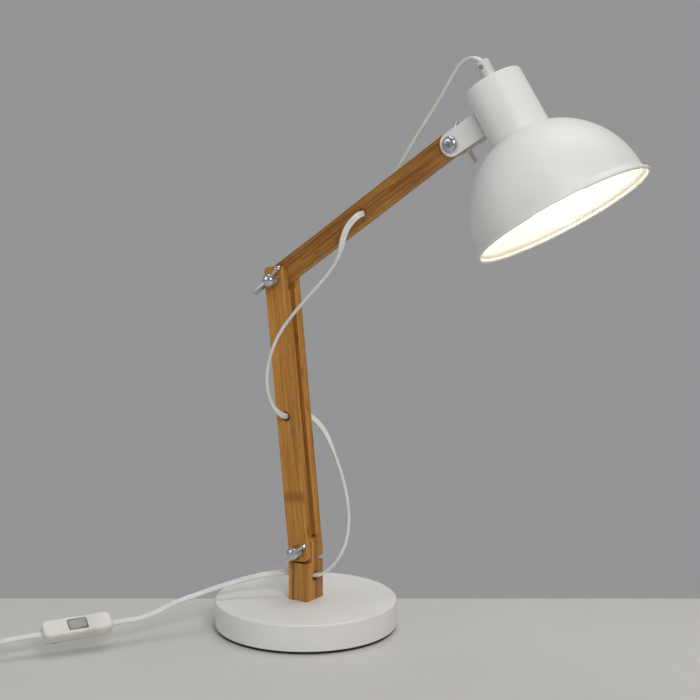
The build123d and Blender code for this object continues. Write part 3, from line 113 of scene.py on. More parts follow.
def swing(angle: float) -> tuple:
    """Direction in the swing plane at an angle in degrees up from +X."""
    return (math.cos(math.radians(angle)), 0.0, math.sin(math.radians(angle)))


def plus(start: tuple, direction: tuple, distance: float) -> tuple:
    """The point a distance along a direction from a start."""
    return tuple(a + b * distance for a, b in zip(start, direction))


# Sizes that place the arms and the head, in millimetres and degrees up from +X
FOOT_PIVOT = (0.0, 0.0, 70.4)
LOWER_ARM_ANGLE = 95.7
LOWER_ARM_LENGTH = 239.3
UPPER_ARM_ANGLE = 35.3
UPPER_ARM_LENGTH = 210.3
SHADE_TILT = 32.5
PIVOT_REACH = 55.3
PIVOT_HEIGHT = 98.1

ELBOW_PIVOT = plus(FOOT_PIVOT, swing(LOWER_ARM_ANGLE), LOWER_ARM_LENGTH)
HEAD_PIVOT = plus(ELBOW_PIVOT, swing(UPPER_ARM_ANGLE), UPPER_ARM_LENGTH)
SHADE_ACROSS = swing(SHADE_TILT)
SHADE_AXIS = swing(90 + SHADE_TILT)
RIM_CENTRE = plus(plus(HEAD_PIVOT, SHADE_ACROSS, PIVOT_REACH), SHADE_AXIS, -PIVOT_HEIGHT)
FRONT = (0.0, -1.0, 0.0)
BACK = (0.0, 1.0, 0.0)
RIGHT = (1.0, 0.0, 0.0)
UP = (0.0, 0.0, 1.0)
STANDING = Place((0.0, 0.0, 0.0), RIGHT, UP)
SHADE = Place(RIM_CENTRE, SHADE_ACROSS, SHADE_AXIS)
# Middle of the inline switch, with x along it toward the lamp and z out of its face
SWITCH = Place((-124.5, -162.0, 19.0), (0.53555, 0.84389, 0.03246), (0.48221, -0.33712, 0.80859))


def quarter(count: int) -> Rows:
    """Angles spread evenly from nothing to a quarter turn."""
    return np.linspace(0, math.pi / 2, count)


def whole(count: int) -> Rows:
    """Angles spread evenly round a turn, without its end."""
    return np.linspace(0, FULL_TURN, count, endpoint=False)


def arc(centre: tuple, reach: tuple, angles: Rows) -> Rows:
    """Points centre + (reach_1 cos a, reach_2 sin a) of a round or oval bend.

    Args:
        centre: Middle of the bend in the plane.
        reach: Its two radii; a negative one turns that direction round.
        angles: The angles a.

    Returns:
        Points in order, shape (angles, 2).
    """
    return np.column_stack([centre[0] + reach[0] * np.cos(angles), centre[1] + reach[1] * np.sin(angles)])


def soft_corners(corners: list, radii: list, steps: int = 6, limit: float = 0.48) -> Rows:
    """Closed outline with its corners rounded.

    Each corner is the curve (1-t)^2 a + 2t(1-t) corner + t^2 b, where a and b lie the
    corner's radius away along its two sides, at most the limit's share of each side.

    Args:
        corners: Corner points of a closed polygon in the plane.
        radii: Rounding of each corner.
        steps: Points on each rounding.
        limit: Greatest share of a side that one rounding takes.

    Returns:
        Outline points in order, shape (corners * steps, 2).
    """
    points = np.asarray(corners, float)
    reach = np.asarray(radii, float)[:, None]
    before = np.roll(points, 1, axis=0) - points
    after = np.roll(points, -1, axis=0) - points
    cut_before = np.minimum(reach, limit * np.linalg.norm(before, axis=1, keepdims=True))
    cut_after = np.minimum(reach, limit * np.linalg.norm(after, axis=1, keepdims=True))
    start = (points + unit(before) * cut_before)[:, None]
    end = (points + unit(after) * cut_after)[:, None]
    t = np.linspace(0, 1, steps)[None, :, None]
    blend = (1 - t) ** 2 * start + 2 * t * (1 - t) * points[:, None] + t**2 * end
    return blend.reshape(-1, 2)


def turned(profile: Rows, place: Place, segments: int = 96, gain: Rows | None = None) -> Rows:
    """Surface of revolution: each radius and height of the profile turned round z.

    Point (i, j) is (r_i cos a_j, r_i sin a_j, h_i), with a_j the j-th share of a turn and
    the radius multiplied by gain where one is given.

    Args:
        profile: Radius and height pairs in millimetres, the outside going upward.
        place: Frame whose z is the axis.
        segments: Points round the axis.
        gain: Optional factors on the radius, shape (rows, segments).

    Returns:
        World points, shape (rows, segments, 3).
    """
    angle = whole(segments)
    radius = profile[:, :1] * (1.0 if gain is None else gain)
    height = profile[:, 1:] + 0 * angle
    local = np.stack([radius * np.cos(angle), radius * np.sin(angle), height], axis=-1)
    return place.world(local)


def rounded_rings(width: Rows, depth: Rows, radius: Rows, samples: int = 6) -> Rows:
    """Closed rounded rectangles, one for each entry.

    Every corner is a quarter circle about a centre that lies the radius in from both sides.

    Args:
        width: Full sizes along the first direction.
        depth: Full sizes along the second direction.
        radius: Corner radii.
        samples: Points on each corner.

    Returns:
        Outlines, shape (rows, 4 * samples, 2), counterclockwise.
    """
    width, depth, radius = (np.asarray(v, float)[:, None] for v in (width, depth, radius))
    corner = np.repeat(np.arange(4), samples)
    angle = corner * math.pi / 2 + np.tile(quarter(samples), 4)
    side = np.array([1, -1, -1, 1])[corner]
    end = np.array([1, 1, -1, -1])[corner]
    first = side * (width / 2 - radius) + radius * np.cos(angle)
    second = end * (depth / 2 - radius) + radius * np.sin(angle)
    return np.stack([first, second], axis=-1)


def with_ends(rows: Rows) -> Rows:
    """Close a stack of rings with one point at the middle of its first and last ring.

    Args:
        rows: Rings of points, shape (rows, columns, 3).

    Returns:
        The same rings between two rings that are shrunk to the means of their neighbours.
    """
    first = np.broadcast_to(rows[0].mean(axis=0), rows[0].shape)
    last = np.broadcast_to(rows[-1].mean(axis=0), rows[-1].shape)
    return np.concatenate([first[None], rows, last[None]])


def raised(rings: Rows, height: Rows) -> Rows:
    """Flat rings lifted to one height each.

    Args:
        rings: Outlines in the plane, shape (rows, columns, 2).
        height: Height of each outline.

    Returns:
        Points in space, shape (rows, columns, 3).
    """
    lift = np.broadcast_to(height[:, None, None], (*rings.shape[:2], 1))
    return np.concatenate([rings, lift], axis=-1)


def ring_faces(points: Rows, start: int, looped: bool) -> tuple[Rows, Rows]:
    """Faces between neighbouring rings of a surface.

    Vertex (i, j) has number start + i * columns + j. A quad joins (i, j), (i, j+1),
    (i+1, j+1) and (i+1, j), and a ring shrunk to one point takes triangles instead.

    Args:
        points: Ring points, shape (rows, columns, 3).
        start: Number of the first vertex.
        looped: Whether the last ring joins the first.

    Returns:
        Quads and triangles as arrays of vertex numbers.
    """
    rows, columns = points.shape[:2]
    numbers = start + np.arange(rows * columns).reshape(rows, columns)
    low = numbers if looped else numbers[:-1]
    high = np.roll(numbers, -1, axis=0) if looped else numbers[1:]
    quads = np.stack([low, np.roll(low, -1, 1), np.roll(high, -1, 1), high], axis=-1)
    if looped:
        return quads.reshape(-1, 4), np.empty((0, 3), int)
    shrunk = np.ptp(points, axis=1).max(axis=1) < POINT_SIZE
    keep = slice(1 if shrunk[0] else 0, -1 if shrunk[-1] else None)
    caps = []
    if shrunk[0]:
        ring = quads[0]
        caps.append(np.stack([np.full(columns, numbers[0, 0]), ring[:, 2], ring[:, 3]], axis=-1))
    if shrunk[-1]:
        ring = quads[-1]
        caps.append(np.stack([ring[:, 0], ring[:, 1], np.full(columns, numbers[-1, 0])], axis=-1))
    triangles = np.concatenate(caps) if caps else np.empty((0, 3), int)
    return quads[keep].reshape(-1, 4), triangles


def surface(name: str, sheets: list, looped: bool = False, crease: float = 42.0) -> bpy.types.Object:
    """One mesh object from closed surfaces given as rings of points.

    Args:
        name: Name of the object.
        sheets: Arrays of world points, shape (rows, columns, 3).
        looped: Whether each surface's last ring joins its first.
        crease: Angle in degrees from which an edge stays sharp.

    Returns:
        The linked object at the origin, smooth, with its sharp edges marked.
    """
    quads, triangles, start = [], [], 0
    for points in sheets:
        made, caps = ring_faces(points, start, looped)
        quads.append(made)
        triangles.append(caps)
        start += points.shape[0] * points.shape[1]
    vertices = np.concatenate([points.reshape(-1, 3) for points in sheets])
    quads, triangles = np.concatenate(quads), np.concatenate(triangles)
    corners = np.concatenate([quads.ravel(), triangles.ravel()])
    used, renumber = np.unique(corners, return_inverse=True)
    renumber = renumber.ravel()
    quads = renumber[: quads.size].reshape(-1, 4)
    triangles = renumber[quads.size :].reshape(-1, 3)
    mesh = bpy.data.meshes.new(name)
    mesh.from_pydata(vertices[used].tolist(), [], quads.tolist() + triangles.tolist())
    mesh.shade_smooth()
    mesh.set_sharp_from_angle(angle=math.radians(crease))
    mesh.validate()
    return in_scene(name, mesh)


def in_scene(name: str, data: bpy.types.ID) -> bpy.types.Object:
    """A new object of the scene that holds a mesh, a curve, a lamp or a camera.

    Args:
        name: Name of the object.
        data: What it holds.

    Returns:
        The linked object at the origin.
    """
    made = bpy.data.objects.new(name, data)
    bpy.context.scene.collection.objects.link(made)
    return made


def seat(
    piece: bpy.types.Object, body: BodyName, slot: str, material: bpy.types.Material, *nodes: str
) -> bpy.types.Object:
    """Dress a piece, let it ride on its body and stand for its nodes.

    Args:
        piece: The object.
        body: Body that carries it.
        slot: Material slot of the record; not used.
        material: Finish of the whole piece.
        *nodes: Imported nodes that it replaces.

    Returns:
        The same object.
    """
    piece.data.materials.clear()
    piece.data.materials.append(material)
    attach(piece, body.value)
    if nodes:
        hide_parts(*nodes)
    LOG.info("piece %s on %s for %s", piece.name, body.value, ", ".join(nodes) or "itself")
    return piece


def dress_node(name: str, material: bpy.types.Material) -> None:
    """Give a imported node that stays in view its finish.

    Args:
        name: Name of the node.
        material: Finish of the whole node.
    """
    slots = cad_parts[name].data.materials
    slots.clear()
    slots.append(material)
    LOG.info("node %s dressed in %s", name, material.name)


class NodeTree:
    """Short-hand for adding and joining shader nodes in one tree."""

    def __init__(self, tree: bpy.types.NodeTree) -> None:
        """Keep the tree that the nodes are added to."""
        self.tree = tree

    def feed(self, socket: bpy.types.NodeSocket, value: object) -> None:
        """Join an input to a socket, or set it to a plain value.

        Args:
            socket: The input.
            value: The socket that feeds it, or its value.
        """
        if isinstance(value, bpy.types.NodeSocket):
            self.tree.links.new(value, socket)
        else:
            socket.default_value = value

    def add(self, kind: str, settings: dict | None = None, **inputs: object) -> bpy.types.Node:
        """Add a node, with its settings and its inputs as values or links.

        Args:
            kind: Node type without its ShaderNode prefix.
            settings: Attributes to set on the node.
            **inputs: Socket values or sockets by name, with _ for a space, or i0, i1 by place.

        Returns:
            The new node.
        """
        node = self.tree.nodes.new("ShaderNode" + kind)
        for key, value in (settings or {}).items():
            setattr(node, key, value)
        for key, value in inputs.items():
            place = int(key[1:]) if key[0] == "i" and key[1:].isdigit() else key.replace("_", " ")
            self.feed(node.inputs[place], value)
        return node

    def math(self, operation: str, *values: object) -> bpy.types.NodeSocket:
        """Result of a Math node on up to three values."""
        inputs = {f"i{place}": value for place, value in enumerate(values)}
        return self.add("Math", {"operation": operation}, **inputs).outputs[0]

    def total(self, *terms: tuple) -> bpy.types.NodeSocket:
        """Weighted sum.

        Args:
            *terms: Pairs of a value and its weight.

        Returns:
            The sum of every value times its weight, added up in order.
        """
        result = self.math("MULTIPLY", *terms[0])
        for value, weight in terms[1:]:
            result = self.math("ADD", result, self.math("MULTIPLY", value, weight))
        return result

    def off_middle(self, value: object) -> bpy.types.NodeSocket:
        """How far the fraction of a value is from one half."""
        return self.math("ABSOLUTE", self.math("SUBTRACT", self.math("FRACT", value), 0.5))

    def ramp(self, value: object, low: float, high: float) -> bpy.types.NodeSocket:
        """Value mapped smoothly from low..high to 0..1."""
        settings = {"interpolation_type": "SMOOTHSTEP"}
        return self.add("MapRange", settings, Value=value, From_Min=low, From_Max=high).outputs[0]

    def mix(self, share: object, first: object, second: object) -> bpy.types.NodeSocket:
        """Colour mix of first and second by a share."""
        node = self.add("Mix", {"data_type": "RGBA"}, i0=share, i6=first, i7=second)
        return node.outputs[2]

    def combine(self, operation: str, first: object, second: object) -> bpy.types.NodeSocket:
        """Result of a Vector Math node on two vectors."""
        return self.add("VectorMath", {"operation": operation}, i0=first, i1=second).outputs[0]

    def noise(
        self, place: object, scale: object, detail: float, roughness: float = 0.5
    ) -> bpy.types.NodeSocket:
        """Value, 0 to 1, of a noise texture."""
        node = self.add("TexNoise", Vector=place, Scale=scale, Detail=detail, Roughness=roughness)
        return node.outputs["Fac"]


def shared_group(name: str, inputs: dict, outputs: dict) -> tuple[bpy.types.NodeTree, NodeTree, dict]:
    """Start a shader node group with named sockets.

    Args:
        name: Name of the group.
        inputs: Socket names with their kind and default value.
        outputs: Socket names with their kind.

    Returns:
        The group, a helper on it and its inputs by name.
    """
    group = bpy.data.node_groups.new(name, "ShaderNodeTree")
    for key, (kind, value) in inputs.items():
        socket = group.interface.new_socket(key, in_out="INPUT", socket_type="NodeSocket" + kind)
        if value is not None:
            socket.default_value = value
    for key, kind in outputs.items():
        group.interface.new_socket(key, in_out="OUTPUT", socket_type="NodeSocket" + kind)
    nodes = NodeTree(group)
    entry = group.nodes.new("NodeGroupInput")
    return group, nodes, {key: entry.outputs[key] for key in inputs}


def close_group(nodes: NodeTree, results: dict) -> None:
    """Join the results to a group's outputs.

    Args:
        nodes: Helper on the group.
        results: Sockets by the names of the outputs.
    """
    leave = nodes.tree.nodes.new("NodeGroupOutput")
    for key, value in results.items():
        nodes.tree.links.new(value, leave.inputs[key])


def rgb(colour: Colour, share: float = 1.0) -> tuple:
    """A share of a colour, with a full alpha."""
    return (*(share * c for c in colour), 1.0)


class SharedEffects:
    """Node groups that several finishes use: bamboo, skin grain, smudges and settled dust.

    The fibre, cloud and fleck stretches are noise cells per metre along the fibres, across
    them and through the layers, and the wipe stretch multiplies the scale of the wiping
    lines. The weights say how much each trait lightens the wood. Stagger and wobble are
    shares of the spacing of its joints: the shift for each strip number, and the unevenness.
    """

    fibre_stretch: tuple = (14.0, 620.0, 620.0)
    cloud_stretch: tuple = (5.0, 130.0, 130.0)
    fleck_stretch: tuple = (85.0, 1900.0, 1900.0)
    wipe_stretch: tuple = (1.0, 14.0, 3.0)
    fibre_weight: float = 0.4
    cloud_weight: float = 0.28
    tint_weight: float = 0.42
    fleck_weight: float = -0.36
    glue_weight: float = -0.4
    joint_stagger: float = 0.29
    joint_wobble: float = 0.016
    speck_scale: float = 420.0
    dust_patch_scale: float = 22.0

    def __init__(self) -> None:
        """Build each group once."""
        self.bamboo = self._bamboo()
        self.grain = self._grain()
        self.smudge = self._smudge()
        self.dust = self._dust()

    def _bamboo(self) -> bpy.types.NodeTree:
        """Laminated bamboo: strips with their own tint, long fibres, dark flecks and joints.

        Each strip has a number from its layer and its place in the layer, which gives its
        tint and shifts its fibres and joints. The tone is the weighted sum of fibres, clouds
        and tint less flecks, joints and glue lines, and runs from the dark colour to the
        light one.

        Returns:
            The group.
        """
        group, nodes, given = shared_group(
            "bamboo_strips",
            {
                "Vector": ("Vector", None),
                "Light": ("Color", (0.5, 0.28, 0.1, 1)),
                "Dark": ("Color", (0.25, 0.12, 0.04, 1)),
                "Layer": ("Float", 0.0031),
                "Width": ("Float", 0.02),
                "Knots": ("Float", 0.42),
                "Spacing": ("Float", 0.26),
            },
            {"Color": "Color", "Roughness": "Float", "Height": "Float"},
        )
        along, across, through = nodes.add("SeparateXYZ", Vector=given["Vector"]).outputs
        depth = nodes.math("DIVIDE", through, given["Layer"])
        beside = nodes.math("ADD", nodes.math("DIVIDE", across, given["Width"]), 0.5)
        number = nodes.total((nodes.math("FLOOR", depth), 7.3), (nodes.math("FLOOR", beside), 3.1))
        chance = {"noise_dimensions": "1D"}
        tint = nodes.add("TexWhiteNoise", chance, W=number).outputs["Value"]
        shift = nodes.add("TexWhiteNoise", chance, W=nodes.math("ADD", number, 0.37)).outputs["Value"]
        offset = nodes.add("CombineXYZ", X=nodes.math("MULTIPLY", shift, 5.0), Y=number, Z=0.0)
        moved = nodes.combine("ADD", given["Vector"], offset.outputs[0])
        fibre = nodes.noise(nodes.combine("MULTIPLY", moved, self.fibre_stretch), 1.0, 4.0, 0.62)
        cloud = nodes.noise(nodes.combine("MULTIPLY", moved, self.cloud_stretch), 1.0, 2.0)
        speck = nodes.noise(nodes.combine("MULTIPLY", moved, self.fleck_stretch), 1.0, 2.0)
        order = nodes.math(
            "ADD", nodes.math("DIVIDE", along, given["Spacing"]),
            nodes.math("MULTIPLY", number, self.joint_stagger),
        )
        wobble = nodes.math("MULTIPLY", nodes.math("SUBTRACT", cloud, 0.5), self.joint_wobble)
        clear = nodes.ramp(nodes.off_middle(nodes.math("ADD", order, wobble)), 0.004, 0.03)
        joint = nodes.math("SUBTRACT", 1.0, clear)
        knot = nodes.math("MULTIPLY", joint, nodes.ramp(fibre, 0.32, 0.6))
        glue = nodes.ramp(nodes.off_middle(depth), 0.455, 0.495)
        shade = nodes.total(
            (nodes.ramp(fibre, 0.34, 0.66), self.fibre_weight),
            (nodes.ramp(cloud, 0.3, 0.7), self.cloud_weight),
            (tint, self.tint_weight),
            (nodes.ramp(speck, 0.57, 0.72), self.fleck_weight),
            (nodes.math("MULTIPLY", knot, given["Knots"]), -1.0),
            (glue, self.glue_weight),
        )
        colour = nodes.mix(nodes.ramp(shade, -0.05, 1.0), given["Dark"], given["Light"])
        rough = nodes.math("ADD", 0.36, nodes.math("MULTIPLY", fibre, 0.16))
        height = nodes.math("SUBTRACT", fibre, nodes.math("MULTIPLY", glue, 0.7))
        close_group(nodes, {"Color": colour, "Roughness": rough, "Height": height})
        return group

    def _grain(self) -> bpy.types.NodeTree:
        """Fine skin of a coating or moulding: height, and a soft uneven tone.

        Returns:
            The group.
        """
        group, nodes, given = shared_group(
            "skin_grain",
            {"Vector": ("Vector", None), "Scale": ("Float", 900.0), "Tone": ("Float", 30.0)},
            {"Height": "Float", "Shade": "Float"},
        )
        fine = nodes.noise(given["Vector"], given["Scale"], 3.0)
        broad = nodes.noise(given["Vector"], given["Tone"], 4.0)
        close_group(nodes, {"Height": fine, "Shade": broad})
        return group

    def _smudge(self) -> bpy.types.NodeTree:
        """Handling marks on bright metal: patches and thin wiping lines, as a 0..1 mask.

        Returns:
            The group.
        """
        group, nodes, given = shared_group(
            "handling_marks",
            {"Vector": ("Vector", None), "Scale": ("Float", 160.0)},
            {"Mask": "Float", "Height": "Float"},
        )
        patch = nodes.noise(given["Vector"], given["Scale"], 5.0)
        drawn = nodes.combine("MULTIPLY", given["Vector"], self.wipe_stretch)
        lines = nodes.noise(drawn, given["Scale"], 2.0)
        mask = nodes.total((nodes.ramp(patch, 0.4, 0.7), 0.7), (nodes.ramp(lines, 0.5, 0.7), 0.3))
        close_group(nodes, {"Mask": mask, "Height": lines})
        return group

    def _dust(self) -> bpy.types.NodeTree:
        """Settled dust: stronger where the surface faces up, broken by noise.

        Returns:
            The group.
        """
        group, nodes, given = shared_group(
            "settled_dust",
            {"Vector": ("Vector", None), "Amount": ("Float", 0.2)},
            {"Mask": "Float"},
        )
        facing = nodes.add("NewGeometry").outputs["Normal"]
        upward = nodes.ramp(nodes.add("SeparateXYZ", Vector=facing).outputs[2], 0.55, 1.0)
        speck = nodes.ramp(nodes.noise(given["Vector"], self.speck_scale, 6.0), 0.5, 0.75)
        patch = nodes.ramp(nodes.noise(given["Vector"], self.dust_patch_scale, 3.0), 0.35, 0.7)
        mask = nodes.math("MULTIPLY", nodes.math("MULTIPLY", speck, patch), upward)
        close_group(nodes, {"Mask": nodes.math("MULTIPLY", mask, given["Amount"])})
        return group


class Recipe:
    """One material under construction: a Principled shader and the nodes that feed it."""

    def __init__(self, name: str) -> None:
        """Start an empty material with its shader and its Object coordinates.

        Args:
            name: Name of the material.
        """
        self.material = bpy.data.materials.new(name)
        self.material.use_nodes = True
        tree = self.material.node_tree
        tree.nodes.clear()
        self.nodes = NodeTree(tree)
        self.shader = self.nodes.add("BsdfPrincipled")
        end = tree.nodes.new("ShaderNodeOutputMaterial")
        tree.links.new(self.shader.outputs[0], end.inputs[0])
        self.place = self.nodes.add("TexCoord").outputs["Object"]

    def use(self, group: bpy.types.NodeTree, **inputs: object) -> bpy.types.NodeOutputs:
        """Place a shared group on the material's Object coordinates.

        Args:
            group: The shared group.
            **inputs: Its values or sockets by name; a Vector replaces the coordinates.

        Returns:
            The outputs of the placed group.
        """
        node = self.nodes.tree.nodes.new("ShaderNodeGroup")
        node.node_tree = group
        for key, value in {"Vector": self.place, **inputs}.items():
            self.nodes.feed(node.inputs[key], value)
        return node.outputs

    def set(self, **values: object) -> None:
        """Set or join sockets of the Principled shader, with _ for a space."""
        for key, value in values.items():
            self.nodes.feed(self.shader.inputs[key.replace("_", " ")], value)

    def bump(self, height: bpy.types.NodeSocket, strength: float, distance: float) -> None:
        """Feed a height through a Bump node into the shader's normal."""
        node = self.nodes.add("Bump", None, Strength=strength, Distance=distance, Height=height)
        self.set(Normal=node.outputs[0])

    def skin(self, effects: SharedEffects, finish: "PaintFinish | PlasticFinish") -> None:
        """Give the shader a fine skin, a slightly uneven colour and gloss, and settled dust.

        The colour runs from its darker share to itself by the broad noise of the grain, and
        the dust's colour lies over it by the dust's mask. Roughness is the finish's own plus
        its spread times that noise.

        Args:
            effects: Shared groups.
            finish: Finish that holds the values.
        """
        nodes = self.nodes
        grain = self.use(effects.grain, Scale=finish.grain, Tone=finish.patch)
        dust = self.use(effects.dust, Amount=finish.dust)
        darker = rgb(finish.colour, 1 - finish.uneven)
        tone = nodes.mix(nodes.ramp(grain["Shade"], 0.3, 0.7), darker, rgb(finish.colour))
        tone = nodes.mix(dust["Mask"], tone, rgb(finish.dust_colour))
        spread = nodes.math("MULTIPLY", grain["Shade"], finish.spread)
        self.set(Base_Color=tone, Roughness=nodes.math("ADD", finish.roughness, spread))
        self.bump(grain["Height"], finish.relief, finish.depth)


@dataclass(frozen=True)
class PaintFinish:
    """Satin powder coat on sheet steel."""

    name: str
    colour: Colour
    roughness: float = 0.42
    uneven: float = 0.045
    grain: float = 1500.0
    patch: float = 26.0
    spread: float = 0.1
    dust: float = 0.16
    dust_colour: Colour = (0.5, 0.48, 0.44)
    relief: float = 0.35
    depth: float = 0.00006

    def material(self, effects: SharedEffects) -> bpy.types.Material:
        """Orange-peel bump, a slightly uneven white and a trace of dust on level places.

        Args:
            effects: Shared groups.

        Returns:
            The finished material.
        """
        recipe = Recipe(self.name)
        recipe.skin(effects, self)
        recipe.set(Specular_IOR_Level=0.45)
        return recipe.material


@dataclass(frozen=True)
class BambooFinish:
    """Laminated bamboo under clear lacquer, its fibres along one direction.

    Layer and width are the sizes of a strip in metres, and the three shifts move the
    pattern along the fibres, through the layers and across the strips.
    """

    name: str
    angle: float
    layer: float = 0.00314
    width: float = 0.0212
    middle: float = 0.0
    side_shift: float = 0.0
    along_shift: float = 0.0
    knots: float = 0.42
    light: Colour = (0.6, 0.275, 0.05)
    dark: Colour = (0.2, 0.072, 0.01)

    def material(self, effects: SharedEffects) -> bpy.types.Material:
        """Fibres turned to the piece's own length by a Mapping node, then the strip group.

        The turned axes are: along the fibres, across them in the swing plane, and through
        the layers along the pivot bolts.

        Args:
            effects: Shared groups.

        Returns:
            The finished material.
        """
        recipe = Recipe(self.name)
        nodes = recipe.nodes
        turn = nodes.add(
            "Mapping", {"vector_type": "POINT"}, Vector=recipe.place,
            Rotation=(0.0, math.radians(self.angle), 0.0),
            Location=(self.along_shift, self.side_shift, -self.middle),
        )
        parts = nodes.add("SeparateXYZ", Vector=turn.outputs[0]).outputs
        ordered = nodes.add("CombineXYZ", X=parts[0], Y=parts[2], Z=parts[1])
        wood = recipe.use(
            effects.bamboo, Vector=ordered.outputs[0], Light=rgb(self.light), Dark=rgb(self.dark),
            Layer=self.layer, Width=self.width, Knots=self.knots,
        )
        recipe.set(
            Base_Color=wood["Color"], Roughness=wood["Roughness"],
            Coat_Weight=0.08, Coat_Roughness=0.32, Specular_IOR_Level=0.28,
        )
        recipe.bump(wood["Height"], 0.3, 0.00012)
        return recipe.material


@dataclass(frozen=True)
class MetalFinish:
    """Bare or plated metal with handling marks."""

    name: str
    colour: Colour
    bright: float = 0.1
    dull: float = 0.28
    scale: float = 160.0
    worn: float = 0.88

    def material(self, effects: SharedEffects) -> bpy.types.Material:
        """Roughness runs from bright to dull by the marks, over a faint drawn texture.

        Args:
            effects: Shared groups.

        Returns:
            The finished material.
        """
        recipe = Recipe(self.name)
        nodes = recipe.nodes
        marks = recipe.use(effects.smudge, Scale=self.scale)
        spread = nodes.math("MULTIPLY", marks["Mask"], self.dull - self.bright)
        tone = nodes.mix(marks["Mask"], rgb(self.colour), rgb(self.colour, self.worn))
        recipe.set(Base_Color=tone, Metallic=1.0, Roughness=nodes.math("ADD", spread, self.bright))
        recipe.bump(marks["Height"], 0.04, 0.00001)
        return recipe.material


@dataclass(frozen=True)
class PlasticFinish:
    """Moulded plastic or rubber with a fine skin."""

    name: str
    colour: Colour
    roughness: float = 0.35
    grain: float = 700.0
    depth: float = 0.00005
    uneven: float = 0.1
    patch: float = 60.0
    spread: float = 0.12
    dust: float = 0.12
    dust_colour: Colour = (0.45, 0.43, 0.4)
    relief: float = 0.4

    def material(self, effects: SharedEffects) -> bpy.types.Material:
        """Slight unevenness of tone and gloss, a moulded grain and a little dust."""
        recipe = Recipe(self.name)
        recipe.skin(effects, self)
        return recipe.material


@dataclass(frozen=True)
class LitGlassFinish:
    """Opal bulb glass, alight, its glow faintly uneven."""

    name: str
    colour: Colour
    glow: Colour
    strength: float
    dimmest: float = 0.93

    def material(self, effects: SharedEffects) -> bpy.types.Material:
        """Warm light that a broad noise dims a little, under a smooth glass skin.

        Args:
            effects: Shared groups.

        Returns:
            The finished material.
        """
        recipe = Recipe(self.name)
        haze = recipe.use(effects.grain, Scale=240.0, Tone=40.0)
        glow = recipe.nodes.mix(haze["Shade"], rgb(self.glow), rgb(self.glow, self.dimmest))
        recipe.set(
            Base_Color=rgb(self.colour), Roughness=0.22, Coat_Weight=0.4, Coat_Roughness=0.05,
            Emission_Color=glow, Emission_Strength=self.strength,
        )
        recipe.bump(haze["Height"], 0.05, 0.00003)
        recipe.material.cycles.emission_sampling = "NONE"
        return recipe.material


class Palette:
    """Every finish of the lamp, made once."""

    def __init__(self) -> None:
        """Build the shared effects and each material from them."""
        fx = SharedEffects()
        self.white_coat = PaintFinish("white_powder_coat", (0.8, 0.79, 0.765)).material(fx)
        self.shade_coat = PaintFinish("shade_powder_coat", (0.8, 0.795, 0.775), 0.4).material(fx)
        self.lower_wood = BambooFinish(
            "bamboo_slats", LOWER_ARM_ANGLE, middle=-0.00699, along_shift=-0.1267
        ).material(fx)
        self.upper_wood = BambooFinish(
            "bamboo_bar", UPPER_ARM_ANGLE, layer=0.00347, middle=0.26703, side_shift=0.001735, knots=0.1
        ).material(fx)
        self.post_wood = BambooFinish(
            "bamboo_post", 90.0, layer=0.005, width=0.005, knots=0.12,
            light=(0.62, 0.3, 0.065), dark=(0.22, 0.084, 0.014),
        ).material(fx)
        self.chrome = MetalFinish("polished_chrome", (0.62, 0.62, 0.635), 0.05, 0.18).material(fx)
        self.steel = MetalFinish("plain_steel", (0.5, 0.5, 0.5), 0.28, 0.45).material(fx)
        self.iron = MetalFinish("cast_iron", (0.1, 0.1, 0.1), 0.55, 0.8, 60.0).material(fx)
        self.brass = MetalFinish("turned_brass", (0.66, 0.49, 0.2), 0.22, 0.4).material(fx)
        self.rubber = PlasticFinish("pad_rubber", (0.022, 0.022, 0.022), 0.7, 400.0, 0.0001).material(fx)
        self.holder = PlasticFinish("holder_plastic", (0.78, 0.77, 0.74), 0.35).material(fx)
        self.nylon = PlasticFinish("clamp_nylon", (0.66, 0.66, 0.63), 0.3).material(fx)
        self.switch = PlasticFinish("switch_shell", (0.73, 0.715, 0.665), 0.28).material(fx)
        self.rocker = PlasticFinish("rocker_cap", (0.36, 0.385, 0.345), 0.34).material(fx)
        self.flex = PlasticFinish("cord_sheath", (0.76, 0.75, 0.72), 0.42, 900.0, 0.00001).material(fx)
        self.plug = PlasticFinish("plug_moulding", (0.76, 0.75, 0.72), 0.36).material(fx)
        self.tie = PlasticFinish("tie_strip", (0.05, 0.05, 0.052), 0.5).material(fx)
        self.glass = LitGlassFinish("lit_opal_glass", (0.9, 0.88, 0.82), (1.0, 0.87, 0.66), 9.0).material(fx)
        self.tabletop = PaintFinish("pale_table", (0.64, 0.63, 0.6), 0.55, 0.015).material(fx)


